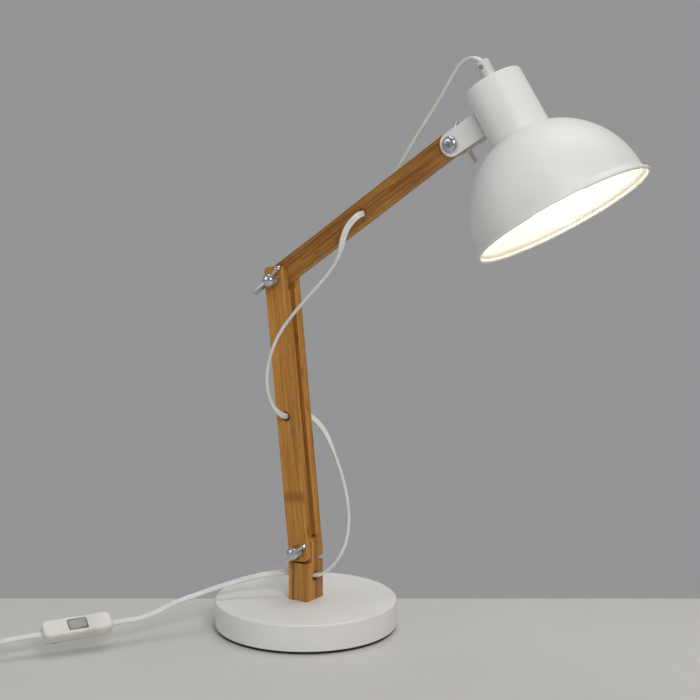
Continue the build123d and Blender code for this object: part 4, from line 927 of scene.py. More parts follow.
@dataclass
class Studio:
    """Camera, soft light and the pale table that the lamp stands on, in metres and degrees.

    Each lamp has its place, size, power and colour. The surroundings light the lamp in one
    tone and show another to the camera, through glass and in reflections.
    """

    eye: tuple = (0.929286, -1.342211, 0.531970)
    pitch: float = 80.11
    heading: float = 33.33
    lens: float = 98.76
    sensor: float = 36.0
    aim: tuple = (0.08, 0.0, 0.25)
    lighting_tone: Colour = (0.62, 0.64, 0.67)
    lighting_strength: float = 0.38
    seen_tone: Colour = (0.3, 0.3, 0.31)
    seen_gain: float = 0.62
    near_rows: tuple = (-1.2, 0.4)
    back_edge: float = 1.7149
    edge_radius: float = 0.004
    half_width: float = 3.0
    thickness: float = 0.03
    lamps: dict = field(default_factory=lambda: {
        "key": ((1.6, -1.2, 1.5), 0.8, 22.5, (1.0, 0.98, 0.94)),
        "fill": ((-1.2, -1.7, 1.2), 1.5, 7.0, (0.97, 0.985, 1.0)),
        "top": ((0.1, 0.5, 2.0), 1.5, 13.0, (1.0, 1.0, 1.0)),
    })

    def camera(self) -> None:
        """Stand the camera at the photograph's place and angle."""
        data = bpy.data.cameras.new("camera")
        data.sensor_width, data.lens = self.sensor, self.lens
        eye = in_scene("camera", data)
        eye.location = self.eye
        eye.rotation_euler = (math.radians(self.pitch), 0.0, math.radians(self.heading))
        bpy.context.scene.camera = eye

    def light(self) -> None:
        """Hang the soft lamps and set the pale surroundings."""
        for name, (place, size, power, colour) in self.lamps.items():
            data = bpy.data.lights.new(name, "AREA")
            data.size, data.energy, data.color = size, power, colour
            lamp = in_scene(name, data)
            lamp.location = place
            toward = np.array(self.aim) - np.array(place)
            level = math.hypot(toward[0], toward[1])
            lamp.rotation_euler = (math.atan2(level, -toward[2]), 0.0, math.atan2(-toward[0], toward[1]))
        world = bpy.data.worlds.new("surroundings")
        bpy.context.scene.world = world
        world.use_nodes = True
        nodes = NodeTree(world.node_tree)
        world.node_tree.nodes.clear()
        path = nodes.add("LightPath").outputs
        seen = nodes.math("MAXIMUM", path["Is Camera Ray"], path["Is Transmission Ray"])
        seen = nodes.math("MAXIMUM", seen, path["Is Glossy Ray"])
        tone = nodes.mix(seen, rgb(self.lighting_tone), rgb(self.seen_tone))
        strength = nodes.math("ADD", nodes.math("MULTIPLY", seen, self.seen_gain), self.lighting_strength)
        back = nodes.add("Background", None, Color=tone, Strength=strength)
        end = world.node_tree.nodes.new("ShaderNodeOutputWorld")
        world.node_tree.links.new(back.outputs[0], end.inputs[0])
        bpy.context.scene.view_settings.view_transform = "Standard"

    def table(self, palette: Palette) -> None:
        """Lay the table: a level top whose far edge crosses the view behind the base.

        A point of the top is the spot under the camera plus a distance along its heading
        plus a distance sideways; the far edge turns down on a small radius.

        Args:
            palette: Finishes of the lamp.
        """
        turn = math.radians(self.heading)
        ahead = np.array([-math.sin(turn), math.cos(turn), 0.0])
        aside = np.array([math.cos(turn), math.sin(turn), 0.0])
        radius, bend = self.edge_radius, quarter(7)
        turned_down = self.back_edge - radius + radius * np.sin(bend)
        distance = np.concatenate([self.near_rows, turned_down, [self.back_edge]])
        level = np.zeros(len(self.near_rows))
        drop = np.concatenate([level, radius * (np.cos(bend) - 1), [-self.thickness]])
        sides = np.linspace(-self.half_width, self.half_width, 5)
        spot = np.array([self.eye[0], self.eye[1], 0.0])
        points = spot + distance[:, None, None] * ahead + sides[None, :, None] * aside
        points = points + drop[:, None, None] * np.array(UP)
        rows, columns = points.shape[:2]
        numbers = np.arange(rows * columns).reshape(rows, columns)
        faces = np.stack([numbers[:-1, :-1], numbers[:-1, 1:], numbers[1:, 1:], numbers[1:, :-1]], axis=-1)
        mesh = bpy.data.meshes.new("table_top")
        mesh.from_pydata(points.reshape(-1, 3).tolist(), [], faces.reshape(-1, 4).tolist())
        mesh.shade_smooth()
        top = in_scene("table_top", mesh)
        top.data.materials.append(palette.tabletop)


@dataclass
class FlexLead:
    """A length of flat twin flex on a route of given points, in millimetres."""

    name: str
    route: list
    flat_toward: list
    length: float
    replaces: tuple
    far_end: str = "object"
    lay: str = "loose"
    stiffness: str = "limp"
    width: float = 5.4
    thickness: float = 3.0
    groove: float = 0.2
    groove_width: float = 0.62
    squareness: float = 0.44
    steepness: float = 3.0
    smoothness: int = 14

    def centre_line(self) -> Rows:
        """Points along the smooth spline that the route controls, in metres.

        Returns:
            The polyline of an order-three NURBS spline that starts and ends on the route's
            own ends.
        """
        data = bpy.data.curves.new(self.name, "CURVE")
        data.dimensions = "3D"
        spline = data.splines.new("NURBS")
        spline.points.add(len(self.route) - 1)
        points = np.ones((len(self.route), 4))
        points[:, :3] = np.array(self.route, float) * MM
        spline.points.foreach_set("co", points.ravel())
        spline.order_u = 3
        spline.use_endpoint_u = True
        spline.resolution_u = self.smoothness
        holder = in_scene(self.name, data)
        bpy.context.view_layer.update()
        line = bpy.data.meshes.new_from_object(holder)
        places = np.zeros(len(line.vertices) * 3)
        line.vertices.foreach_get("co", places)
        bpy.data.objects.remove(holder)
        bpy.data.curves.remove(data)
        bpy.data.meshes.remove(line)
        return places.reshape(-1, 3)

    def section(self, points: int = 30) -> Rows:
        """Twin flex outline: two round lobes with a shallow groove between them.

        At angle a the half width is multiplied by s tanh(k cos a) / tanh(k) + (1 - s) cos a,
        with the squareness s and steepness k, and the half thickness by sin a, less the
        groove near the middle.

        Args:
            points: Points round the outline.

        Returns:
            Places across and through the flex in metres, shape (points, 2).
        """
        angle = whole(points)
        square = self.squareness * np.tanh(self.steepness * np.cos(angle)) / math.tanh(self.steepness)
        across = self.width / 2 * (square + (1 - self.squareness) * np.cos(angle))
        dip = 1 - self.groove * np.exp(-((across / self.groove_width) ** 2))
        return np.stack([across, self.thickness / 2 * np.sin(angle) * dip], axis=-1) * MM

    def build(self, palette: Palette) -> tuple[bpy.types.Object, Rows]:
        """Carry the section along the centre line.

        Its flat face looks toward directions given at shares of the length, blended
        between them and squared to the line.

        Args:
            palette: Finishes of the lamp.

        Returns:
            The lead and its centre line.
        """
        line = self.centre_line()
        run = unit(np.gradient(line, axis=0))
        share = np.concatenate([[0], np.cumsum(np.linalg.norm(np.diff(line, axis=0), axis=1))])
        share /= share[-1]
        stations = np.array([key for key, _ in self.flat_toward])
        wanted = unit(np.array([direction for _, direction in self.flat_toward], float))
        facing = np.stack([np.interp(share, stations, wanted[:, i]) for i in range(3)], axis=-1)
        facing = unit(facing - run * (facing * run).sum(axis=1, keepdims=True))
        across = np.cross(facing, run)
        outline = self.section()
        rings = line[:, None] + outline[None, :, :1] * across[:, None]
        rings = rings + outline[None, :, 1:] * facing[:, None]
        lead = surface(self.name, [with_ends(rings)], crease=85.0)
        lead.data.materials.append(palette.flex)
        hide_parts(*self.replaces)
        LOG.info("piece %s for %s", lead.name, ", ".join(self.replaces))
        return lead, line

    def declare(self, lead: bpy.types.Object, line: Rows, pieces: list) -> None:
        """Does nothing: the lead's facts are not stated here.

        Args:
            lead: The object; not used.
            line: Its centre line in metres; not used.
            pieces: Pieces that are on the cord; not used.
        """


@dataclass
class StoredCoil:
    """Two-layer coil: it spirals in on the table, climbs a layer and spirals out on top."""

    centre: tuple = (-219.5, -227.5)
    start_angle: float = -46.5
    outer: float = 38.2
    exit_radius: float = 40.0
    pitch: float = 6.1
    half_turns: int = 8
    height: float = 2.5
    rise: float = 3.5
    step: float = 22.5
    tail: float = 6.8

    def spot(self, out: float, onward: float, level: float) -> tuple:
        """A point by its distances out along the start direction and onward across it.

        Args:
            out: Distance from the centre along the start direction.
            onward: Distance across it.
            level: Height over the table.

        Returns:
            The point in millimetres.
        """
        turn = math.radians(self.start_angle)
        cosine, sine = math.cos(turn), math.sin(turn)
        return (
            self.centre[0] + out * cosine + onward * sine,
            self.centre[1] + out * sine - onward * cosine,
            level,
        )

    def points(self) -> list:
        """Control points of the coil, in millimetres.

        Half turn k is a circle of radius outer - k * pitch / 2 about alternate centres, so
        that each starts where the last one ended. Points stand at every step of angle, a
        little outside the circle, by the cosine of half a step, so that the spline that
        they control runs on it.

        Returns:
            Points from the first half turn on the table to the straight end on top.
        """
        inward = [self.outer - self.pitch / 2 * count for count in range(self.half_turns + 1)]
        radii = inward + inward[-2:0:-1] + [self.exit_radius]
        half_step = math.radians(self.step / 2)
        top = self.height + self.rise
        made, place, side = [], self.outer, 1
        for count, radius in enumerate(radii):
            middle = place - side * radius
            turn = math.pi / 2 if count == len(radii) - 1 else math.pi
            share = np.arange(half_step, turn, 2 * half_step)
            climb = np.full(share.shape, float(count > self.half_turns))
            if count == self.half_turns:
                climb = np.clip(share / math.pi, 0, 1)
            reach = side * radius / math.cos(half_step)
            level = self.height + self.rise * climb * climb * (3 - 2 * climb)
            made += [
                self.spot(middle + reach * math.cos(a), reach * math.sin(a), z)
                for a, z in zip(share, level)
            ]
            place, side = middle - side * radius, -side
        made.append(self.spot(middle, self.exit_radius, top))
        made.append(self.spot(middle - self.tail, self.exit_radius, top))
        return made


@dataclass
class RoundBase:
    """Sheet-metal cover with a rounded edge over a dark pad."""

    radius: float = 80.0
    top: float = 26.0
    edge: float = 1.5
    wall: float = 1.2
    pad_radius: float = 78.5
    pad_top: float = 2.7
    bolt_hole: float = 4.2
    foot_ease: float = 0.3
    top_rings: tuple = (60.0, 30.0)
    pad_hole: float = 9.0

    def cover(self) -> Rows:
        """Closed profile: up the side, round the edge, in to the bolt, and back inside.

        Returns:
            Radius and height pairs.
        """
        edge = self.edge
        bend = arc((self.radius - edge, self.top - edge), (edge, edge), quarter(10))
        ease = self.foot_ease
        outside = [(self.radius - ease, self.pad_top), (self.radius, self.pad_top + ease)]
        across = [(radius, self.top) for radius in (*self.top_rings, self.bolt_hole)]
        inner, roof = self.radius - self.wall, self.top - self.wall
        inside = [(self.bolt_hole, roof), (inner - edge, roof), (inner, roof - edge), (inner, self.pad_top)]
        return np.concatenate([outside, bend, across, inside])

    def pad(self) -> Rows:
        """Closed profile of the pad, its outer edges slightly rounded and its middle open.

        Returns:
            Radius and height pairs.
        """
        hole, outer, top = self.pad_hole, self.pad_radius, self.pad_top
        return soft_corners([(hole, 0.0), (outer, 0.0), (outer, top), (hole, top)], [0.1, 0.6, 0.4, 0.1])

    def build(self, palette: Palette) -> None:
        """Make the cover and the pad on the base."""
        cover = surface("base_shell", [turned(self.cover(), STANDING, 180)], looped=True)
        seat(cover, BodyName.BASE, "white_metal", palette.white_coat, "base_cover")
        pad = surface("base_underlay", [turned(self.pad(), STANDING, 120)], looped=True)
        seat(pad, BodyName.BASE, "pad_rubber", palette.rubber, "base_pad")


@dataclass
class ShadeHead:
    """Spun dome with a flared, beaded rim, the neck cup on top and the cord clamp."""

    dome: float = 71.7
    centre: float = 6.0
    wall: float = 0.9
    land_hole: float = 14.1
    land_edge: float = 25.1
    flare_height: float = 7.5
    flare_radius: float = 4.0
    flare_turn: float = 58.0
    flare_start: float = 6.0
    land_ring: float = 20.0
    bead_centre: tuple = (74.8, 1.5)
    bead_radius: float = 1.5
    neck_foot: float = 25.1
    neck_top: float = 24.2
    neck_height: float = 123.0
    neck_edge: float = 2.0
    neck_ease: float = 0.25
    neck_inner_edge: float = 1.2
    roof_ring: float = 14.0
    nipple_hole: float = 5.2
    clamp_radius: float = 5.6
    clamp_height: float = 18.0
    clamp_bore: float = 3.1
    clamp_mouth: float = 3.5

    def arc_of_dome(self, radius: float) -> Rows:
        """Points of one sphere from the flare up to the land.

        Args:
            radius: Radius of the outside or the inside.

        Returns:
            Radius and height pairs.
        """
        low = math.asin((self.flare_height - self.centre) / self.dome)
        land = self.centre + math.sqrt(self.dome**2 - self.land_edge**2) - (self.dome - radius)
        high = math.asin((land - self.centre) / radius)
        return arc((0.0, self.centre), (radius, radius), np.linspace(low, high, 44))

    def flare(self, radius: float) -> Rows:
        """Points of the flare from its outer end up to the dome.

        Args:
            radius: Radius of the bend.

        Returns:
            Radius and height pairs.
        """
        outward = math.sqrt(self.dome**2 - (self.flare_height - self.centre) ** 2) + self.flare_radius
        angle = np.radians(np.linspace(self.flare_turn, self.flare_start, 9))
        return arc((outward, self.flare_height), (-radius, -radius), angle)

    def dome_profile(self) -> Rows:
        """Round the bead, up the outside, in over the land, and down the inside.

        Returns:
            Radius and height pairs of the closed profile.
        """
        angle = np.radians(np.linspace(180 - self.flare_turn, 360 + self.flare_turn, 20))
        bead = arc(self.bead_centre, (self.bead_radius, self.bead_radius), angle)
        outside, inside = self.arc_of_dome(self.dome), self.arc_of_dome(self.dome - self.wall)
        top = outside[-1, 1]
        under = top - self.wall
        land = [
            (self.land_ring, top), (self.land_hole, top), (self.land_hole, under), (self.land_ring, under),
        ]
        return np.concatenate([
            bead, self.flare(self.flare_radius), outside, land, inside[::-1],
            self.flare(self.flare_radius + self.wall)[::-1],
        ])

    def neck_profile(self) -> Rows:
        """Closed profile of the cup: up its tapered side, over the edge and back inside.

        Returns:
            Radius and height pairs.
        """
        foot = self.arc_of_dome(self.dome)[-1, 1]
        top, roof, edge = self.neck_height, self.neck_height - self.wall, self.neck_edge
        bend = arc((self.neck_top - edge, top - edge), (edge, edge), quarter(9))
        inner = self.neck_top - self.wall
        side = [(self.neck_foot - self.neck_ease, foot), (self.neck_foot, foot + self.neck_ease)]
        over = [(self.roof_ring, top), (self.nipple_hole, top), (self.nipple_hole, roof)]
        back = [
            (inner - self.neck_inner_edge, roof), (inner, roof - self.neck_inner_edge),
            (self.neck_foot - self.wall, foot),
        ]
        return np.concatenate([side, bend, over, back])

    def clamp_profile(self) -> Rows:
        """Closed profile of the clamp: a bored cylinder with eased rims.

        Returns:
            Radius and height pairs.
        """
        low, high = self.neck_height, self.neck_height + self.clamp_height
        outer = self.clamp_radius
        corners = [(outer, low), (outer, high), (self.clamp_mouth, high), (self.clamp_bore, low)]
        return soft_corners(corners, [0.3, 1.1, 0.8, 0.2])

    def build(self, palette: Palette) -> None:
        """Make the dome, the neck and the clamp on the head."""
        dome = surface("shade_shell", [turned(self.dome_profile(), SHADE, 200)], looped=True)
        seat(dome, BodyName.HEAD, "white_metal", palette.shade_coat, "shade_dome")
        neck = surface("neck_shell", [turned(self.neck_profile(), SHADE, 140)], looped=True)
        seat(neck, BodyName.HEAD, "white_metal", palette.shade_coat, "neck_cup")
        clamp = surface("clamp_sleeve", [turned(self.clamp_profile(), SHADE, 64)], looped=True)
        seat(clamp, BodyName.HEAD, "white_plastic", palette.nylon, "cord_clamp")


@dataclass
class BallLamp:
    """Small-cap ball lamp: opal glass and a threaded cap.

    The contact is given as radii and how far each lies below the end of the cap.
    """

    radius: float = 22.5
    centre: float = 16.1
    shoulder: float = 34.0
    neck: float = 6.6
    neck_height: float = 49.5
    cap_radius: float = 6.75
    cap_top: float = 71.5
    pitch: float = 2.82
    shoulder_pull: float = 6.5
    neck_pull: float = 6.0
    thread_end: float = 6.0
    thread_depth: float = 0.045
    contact: tuple = ((5.6, 4.6), (3.4, 2.0), (3.0, 0.6), (2.2, 0.0), (0.0, 0.0))
    columns: int = 72

    def glass(self) -> Rows:
        """The ball from its lowest point to the shoulder, then a smooth curve in to the neck.

        The curve is the cubic with the ball's own slope at the shoulder and a level run
        along the axis at the neck.

        Returns:
            Radius and height pairs.
        """
        high = math.asin((self.shoulder - self.centre) / self.radius)
        ball = arc((0.0, self.centre), (self.radius, self.radius), np.linspace(-math.pi / 2, high, 50))
        t = np.linspace(0, 1, 14)[1:, None]
        start, end = ball[-1], np.array([self.neck, self.neck_height])
        lead = start + self.shoulder_pull * np.array([-math.sin(high), math.cos(high)])
        draw = end - np.array([0.0, self.neck_pull])
        curve = (1 - t) ** 3 * start + 3 * t * (1 - t) ** 2 * lead + 3 * t * t * (1 - t) * draw + t**3 * end
        closed = np.concatenate([ball, curve, [(0.0, self.neck_height)]])
        closed[0, 0] = 0.0
        return closed

    def cap(self) -> Rows:
        """Points of the cap: a rolled screw thread, then the contact.

        The radius is multiplied by 1 + depth * (cos(a - 2 pi h / pitch) - 1) at angle a and
        height h, which rises one pitch a turn.

        Returns:
            World points, shape (rows, columns, 3).
        """
        height = np.linspace(self.neck_height, self.cap_top - self.thread_end, self.columns)
        wave = np.cos(whole(self.columns) - FULL_TURN * height[:, None] / self.pitch)
        end = [(radius, self.cap_top - below) for radius, below in self.contact]
        gain = np.concatenate([1 + self.thread_depth * (wave - 1), np.ones((len(end), self.columns))])
        thread = np.column_stack([np.full(height.shape, self.cap_radius), height])
        return turned(np.concatenate([thread, end]), SHADE, self.columns, gain)

    def build(self, palette: Palette) -> None:
        """Make the glass and the cap on the head."""
        glass = surface("lamp_ball", [turned(self.glass(), SHADE, 96)])
        seat(glass, BodyName.HEAD, "lamp_glass", palette.glass, "bulb_glass")
        cap = surface("lamp_cap", [with_ends(self.cap())[:-1]])
        seat(cap, BodyName.HEAD, "brass", palette.brass, "bulb_cap")


@dataclass
class PivotSet:
    """Socket-head bolt and wing nut of one pivot.

    The nut's barrel is given as radii and heights over its seat, and the dome on its front
    as the middle and the two radii of an oval bend.
    """

    name: str
    pivot: tuple
    head_toward: tuple
    bolt_body: BodyName
    nut_body: BodyName
    head_reach: float
    nut_reach: float
    wing_angle: float
    bolt_radius: float = 3.0
    head_radius: float = 6.75
    head_height: float = 4.5
    socket: float = 2.0
    nut_height: float = 9.5
    wing_span: float = 37.5
    wing_thickness: float = 2.9
    tip_radius: float = 3.6
    tip_height: float = 7.7
    root_radius: float = 4.5
    root_height: float = 5.0
    root_place: float = 3.2
    wing_edge: float = 0.85
    tip_inset: float = 0.6
    thread_depth: float = 0.05
    thread_rows: int = 60
    crown_flat: float = 2.6
    crown_foot: float = 1.0
    socket_depth: float = 2.5
    barrel: tuple = ((0.0, 9.3), (3.1, 9.2), (3.1, 0.0), (6.0, 0.0), (6.4, 0.4), (6.3, 1.6), (5.85, 4.2))
    barrel_dome: tuple = ((0.0, 6.2), (5.75, 4.2))
    columns: int = 72

    def bolt(self) -> Rows:
        """Points of the bolt from its tip to the floor of its hexagonal socket.

        The thread is a ridge of 0.3 mm that rises 1 mm a turn. In the socket the radius is
        half the flats over the cosine of the angle from the nearest flat.

        Returns:
            World points, shape (rows, columns, 3).
        """
        length = self.head_reach + self.nut_reach + self.nut_height - self.tip_inset
        angle = whole(self.columns)
        height = np.linspace(0.7, self.nut_height + 1.0, self.thread_rows)
        ridge = 1 - self.thread_depth * (1 - np.cos(angle - FULL_TURN * height[:, None]))
        hexagon = 1 / np.cos(np.mod(angle, math.pi / 3) - math.pi / 6)
        side, top = self.head_radius, length + self.head_height
        tip = [(0.0, 0.0), (2.3, 0.0)]
        thread = np.column_stack([np.full(height.shape, self.bolt_radius), height])
        shank = [
            (self.bolt_radius, self.nut_height + 1.3), (self.bolt_radius, length), (side - 0.3, length),
            (side, length + 0.3),
        ]
        reach = (side - self.crown_flat, self.head_height - self.crown_foot)
        crown = arc((self.crown_flat, length + self.crown_foot), reach, quarter(12))
        floor = top - self.socket_depth
        pocket = [(self.socket + 0.15, top), (self.socket, top - 0.2), (self.socket, floor), (0.0, floor)]
        end, plain = np.ones((len(tip), self.columns)), np.ones((len(shank) + len(crown), self.columns))
        gain = np.concatenate([end, ridge, plain, np.tile(hexagon, (len(pocket), 1))])
        place = Place(self.pivot, RIGHT, self.head_toward).along(self.head_reach - length)
        return turned(np.concatenate([tip, thread, shank, crown, pocket]), place, self.columns, gain)

    def nut_place(self) -> Place:
        """Frame on the nut's seat with x along the wings and z away from the arm."""
        out = tuple(-c for c in self.head_toward)
        return Place(self.pivot, swing(self.wing_angle), out).along(self.nut_reach)

    def hub(self) -> Rows:
        """Points of the nut's barrel: down its blind bore, over the seat and the domed front.

        Returns:
            World points, shape (rows, columns, 3).
        """
        dome = arc(*self.barrel_dome, quarter(16))
        dome[-1, 0] = 0.0
        return turned(np.concatenate([self.barrel, dome]), self.nut_place(), self.columns)

    def wing(self, side: int) -> Rows:
        """Points of one wing: a plate that wraps a small circle at the root and one at the tip.

        For an outward direction n the outline is the farther of centre + radius * n of the
        two circles. Toward each face the outline shrinks on a quarter circle of edge radius.

        Args:
            side: 1 or -1, the side of the barrel.

        Returns:
            World points, shape (rows, 96, 3).
        """
        outward = arc((0.0, 0.0), (1.0, 1.0), whole(96))
        tip = np.array([side * (self.wing_span / 2 - self.tip_radius), self.tip_height])
        root = np.array([side * self.root_place, self.root_height])
        edge, lean = self.wing_edge, quarter(6)
        shrink = edge * (1 - np.cos(lean))
        lift = self.wing_thickness / 2 - edge + edge * np.sin(lean)
        shrink, lift = np.concatenate([shrink[::-1], shrink]), np.concatenate([-lift[::-1], lift])
        at_tip = outward @ tip + self.tip_radius > outward @ root + self.root_radius
        centre = np.where(at_tip[:, None], tip, root)
        size = np.where(at_tip, self.tip_radius, self.root_radius)
        outline = centre + (size - shrink[:, None])[..., None] * outward
        middle = np.broadcast_to((tip + root) / 2, outline[:1].shape)
        outline = np.concatenate([middle, outline, middle])
        lift = np.concatenate([lift[:1], lift, lift[-1:]])
        return self.nut_place().world(raised(outline, -lift)[..., [0, 2, 1]])

    def build(self, palette: Palette) -> None:
        """Make the bolt and its wing nut."""
        bolt = surface(self.name + "_screw", [self.bolt()])
        seat(bolt, self.bolt_body, "chrome", palette.chrome, self.name + "_bolt")
        wings = surface(self.name + "_wings", [self.wing(1), self.wing(-1)])
        hub = surface(self.name + "_hub", [self.hub()])
        seat(wings, self.nut_body, "chrome", palette.chrome, self.name + "_wing_nut")
        seat(hub, self.nut_body, "chrome", palette.chrome, self.name + "_wing_nut")


@dataclass
class InlineSwitch:
    """Two-shell inline switch with a V-topped rocker in its window.

    The seam is given as heights off the middle plane and how far each row lies inside the
    outline.
    """

    length: float = 60.6
    width: float = 17.6
    half_height: float = 7.5
    back_rise: float = 6.8
    corner: float = 5.0
    edge: float = 2.2
    back_edge: float = 5.0
    window_length: float = 16.8
    window_width: float = 10.9
    window_depth: float = 4.4
    rocker_length: float = 15.2
    rocker_width: float = 9.1
    rocker_pivot: float = 5.8
    rocker_tilt: float = 6.0
    rocker_edge: float = 0.7
    rib: float = 0.12
    rib_pitch: float = 1.15
    valley: float = 0.4
    seam: tuple = ((0.12, 8.4), (0.12, 0.4), (0.5, 0.0))

    def shell(self, side: int) -> Rows:
        """Rings of one shell from the seam out to its face, rounded on the outer edge.

        Args:
            side: 1 for the upper shell with the rocker's window, -1 for the plain lower one.

        Returns:
            Closed surface in world points.
        """
        edge, rise = (self.edge, self.edge) if side > 0 else (self.back_edge, self.back_rise)
        turn, seam = quarter(10), np.array(self.seam)
        height = np.concatenate([seam[:, 0], self.half_height - rise + rise * np.sin(turn)])
        inset = np.concatenate([seam[:, 1], edge * (1 - np.cos(turn))])
        length, width = self.length - 2 * inset, self.width - 2 * inset
        radius = np.maximum(self.corner - inset, 0.4)
        if side > 0:
            drop = np.array([0.0, 0.25, self.window_depth])
            chamfer = np.array([0.5, 0.0, 0.0])
            height = np.append(height, self.half_height - drop)
            length = np.append(length, self.window_length + chamfer)
            width = np.append(width, self.window_width + chamfer)
            radius = np.append(radius, [1.2, 1.0, 1.0])
        local = with_ends(raised(rounded_rings(length, width, radius), height))
        if side < 0:
            local = (local * [1, 1, -1])[:, ::-1]
        return SWITCH.world(local)

    def rocker(self) -> Rows:
        """Rings along the rocker: a rounded rectangle whose top rises from a shallow valley.

        At x from the middle the top is at crest + tan(tilt) * sqrt(x^2 + valley^2), with
        fine ribs across it.

        Returns:
            Closed surface in world points.
        """
        half, edge, lean = self.rocker_length / 2, self.rocker_edge, quarter(5)
        nose, shrink = half - edge + edge * np.sin(lean), edge * (1 - np.cos(lean))
        level = np.linspace(-half + 1.0, half - 1.0, 97)
        x = np.concatenate([-nose[::-1], level, nose])
        ease = np.concatenate([shrink[::-1], np.zeros(level.size), shrink])
        tilt = math.radians(self.rocker_tilt)
        ribs = self.rib * np.clip(np.cos(FULL_TURN * x / self.rib_pitch), 0, 1)
        ribs = ribs * (np.abs(x) > 0.8) * (ease == 0)
        crest = self.half_height - self.rocker_pivot
        top = crest + math.tan(tilt) * np.sqrt(x * x + self.valley**2) - ease + ribs
        bottom = -2.6 + 1.5 * np.clip((np.abs(x) - half / 2) / (half / 2), 0, 1) + ease
        rings = rounded_rings(self.rocker_width - 2 * ease, top - bottom, np.full(x.shape, edge))
        middle = ((top + bottom) / 2)[:, None] + rings[..., 1]
        rows = np.stack([x[:, None] + 0 * middle, rings[..., 0], middle], axis=-1)
        along, normal = unit(SWITCH.x), unit(SWITCH.z)
        place = Place(
            SWITCH.along(self.rocker_pivot).origin,
            tuple(along * math.cos(tilt) + normal * math.sin(tilt)),
            tuple(normal * math.cos(tilt) - along * math.sin(tilt)),
        )
        return place.world(with_ends(rows))

    def build(self, palette: Palette) -> list:
        """Make the shells and the rocker.

        Args:
            palette: Finishes of the lamp.

        Returns:
            The pieces that are on the cord.
        """
        upper = surface("switch_top", [self.shell(1)])
        lower = surface("switch_bottom", [self.shell(-1)])
        rocker = surface("switch_button", [self.rocker()])
        seat(upper, BodyName.BASE, "switch_plastic", palette.switch, "switch_upper")
        seat(lower, BodyName.BASE, "switch_plastic", palette.switch, "switch_lower")
        seat(rocker, BodyName.ROCKER, "rocker_plastic", palette.rocker, "switch_rocker")
        return [upper, lower, rocker]


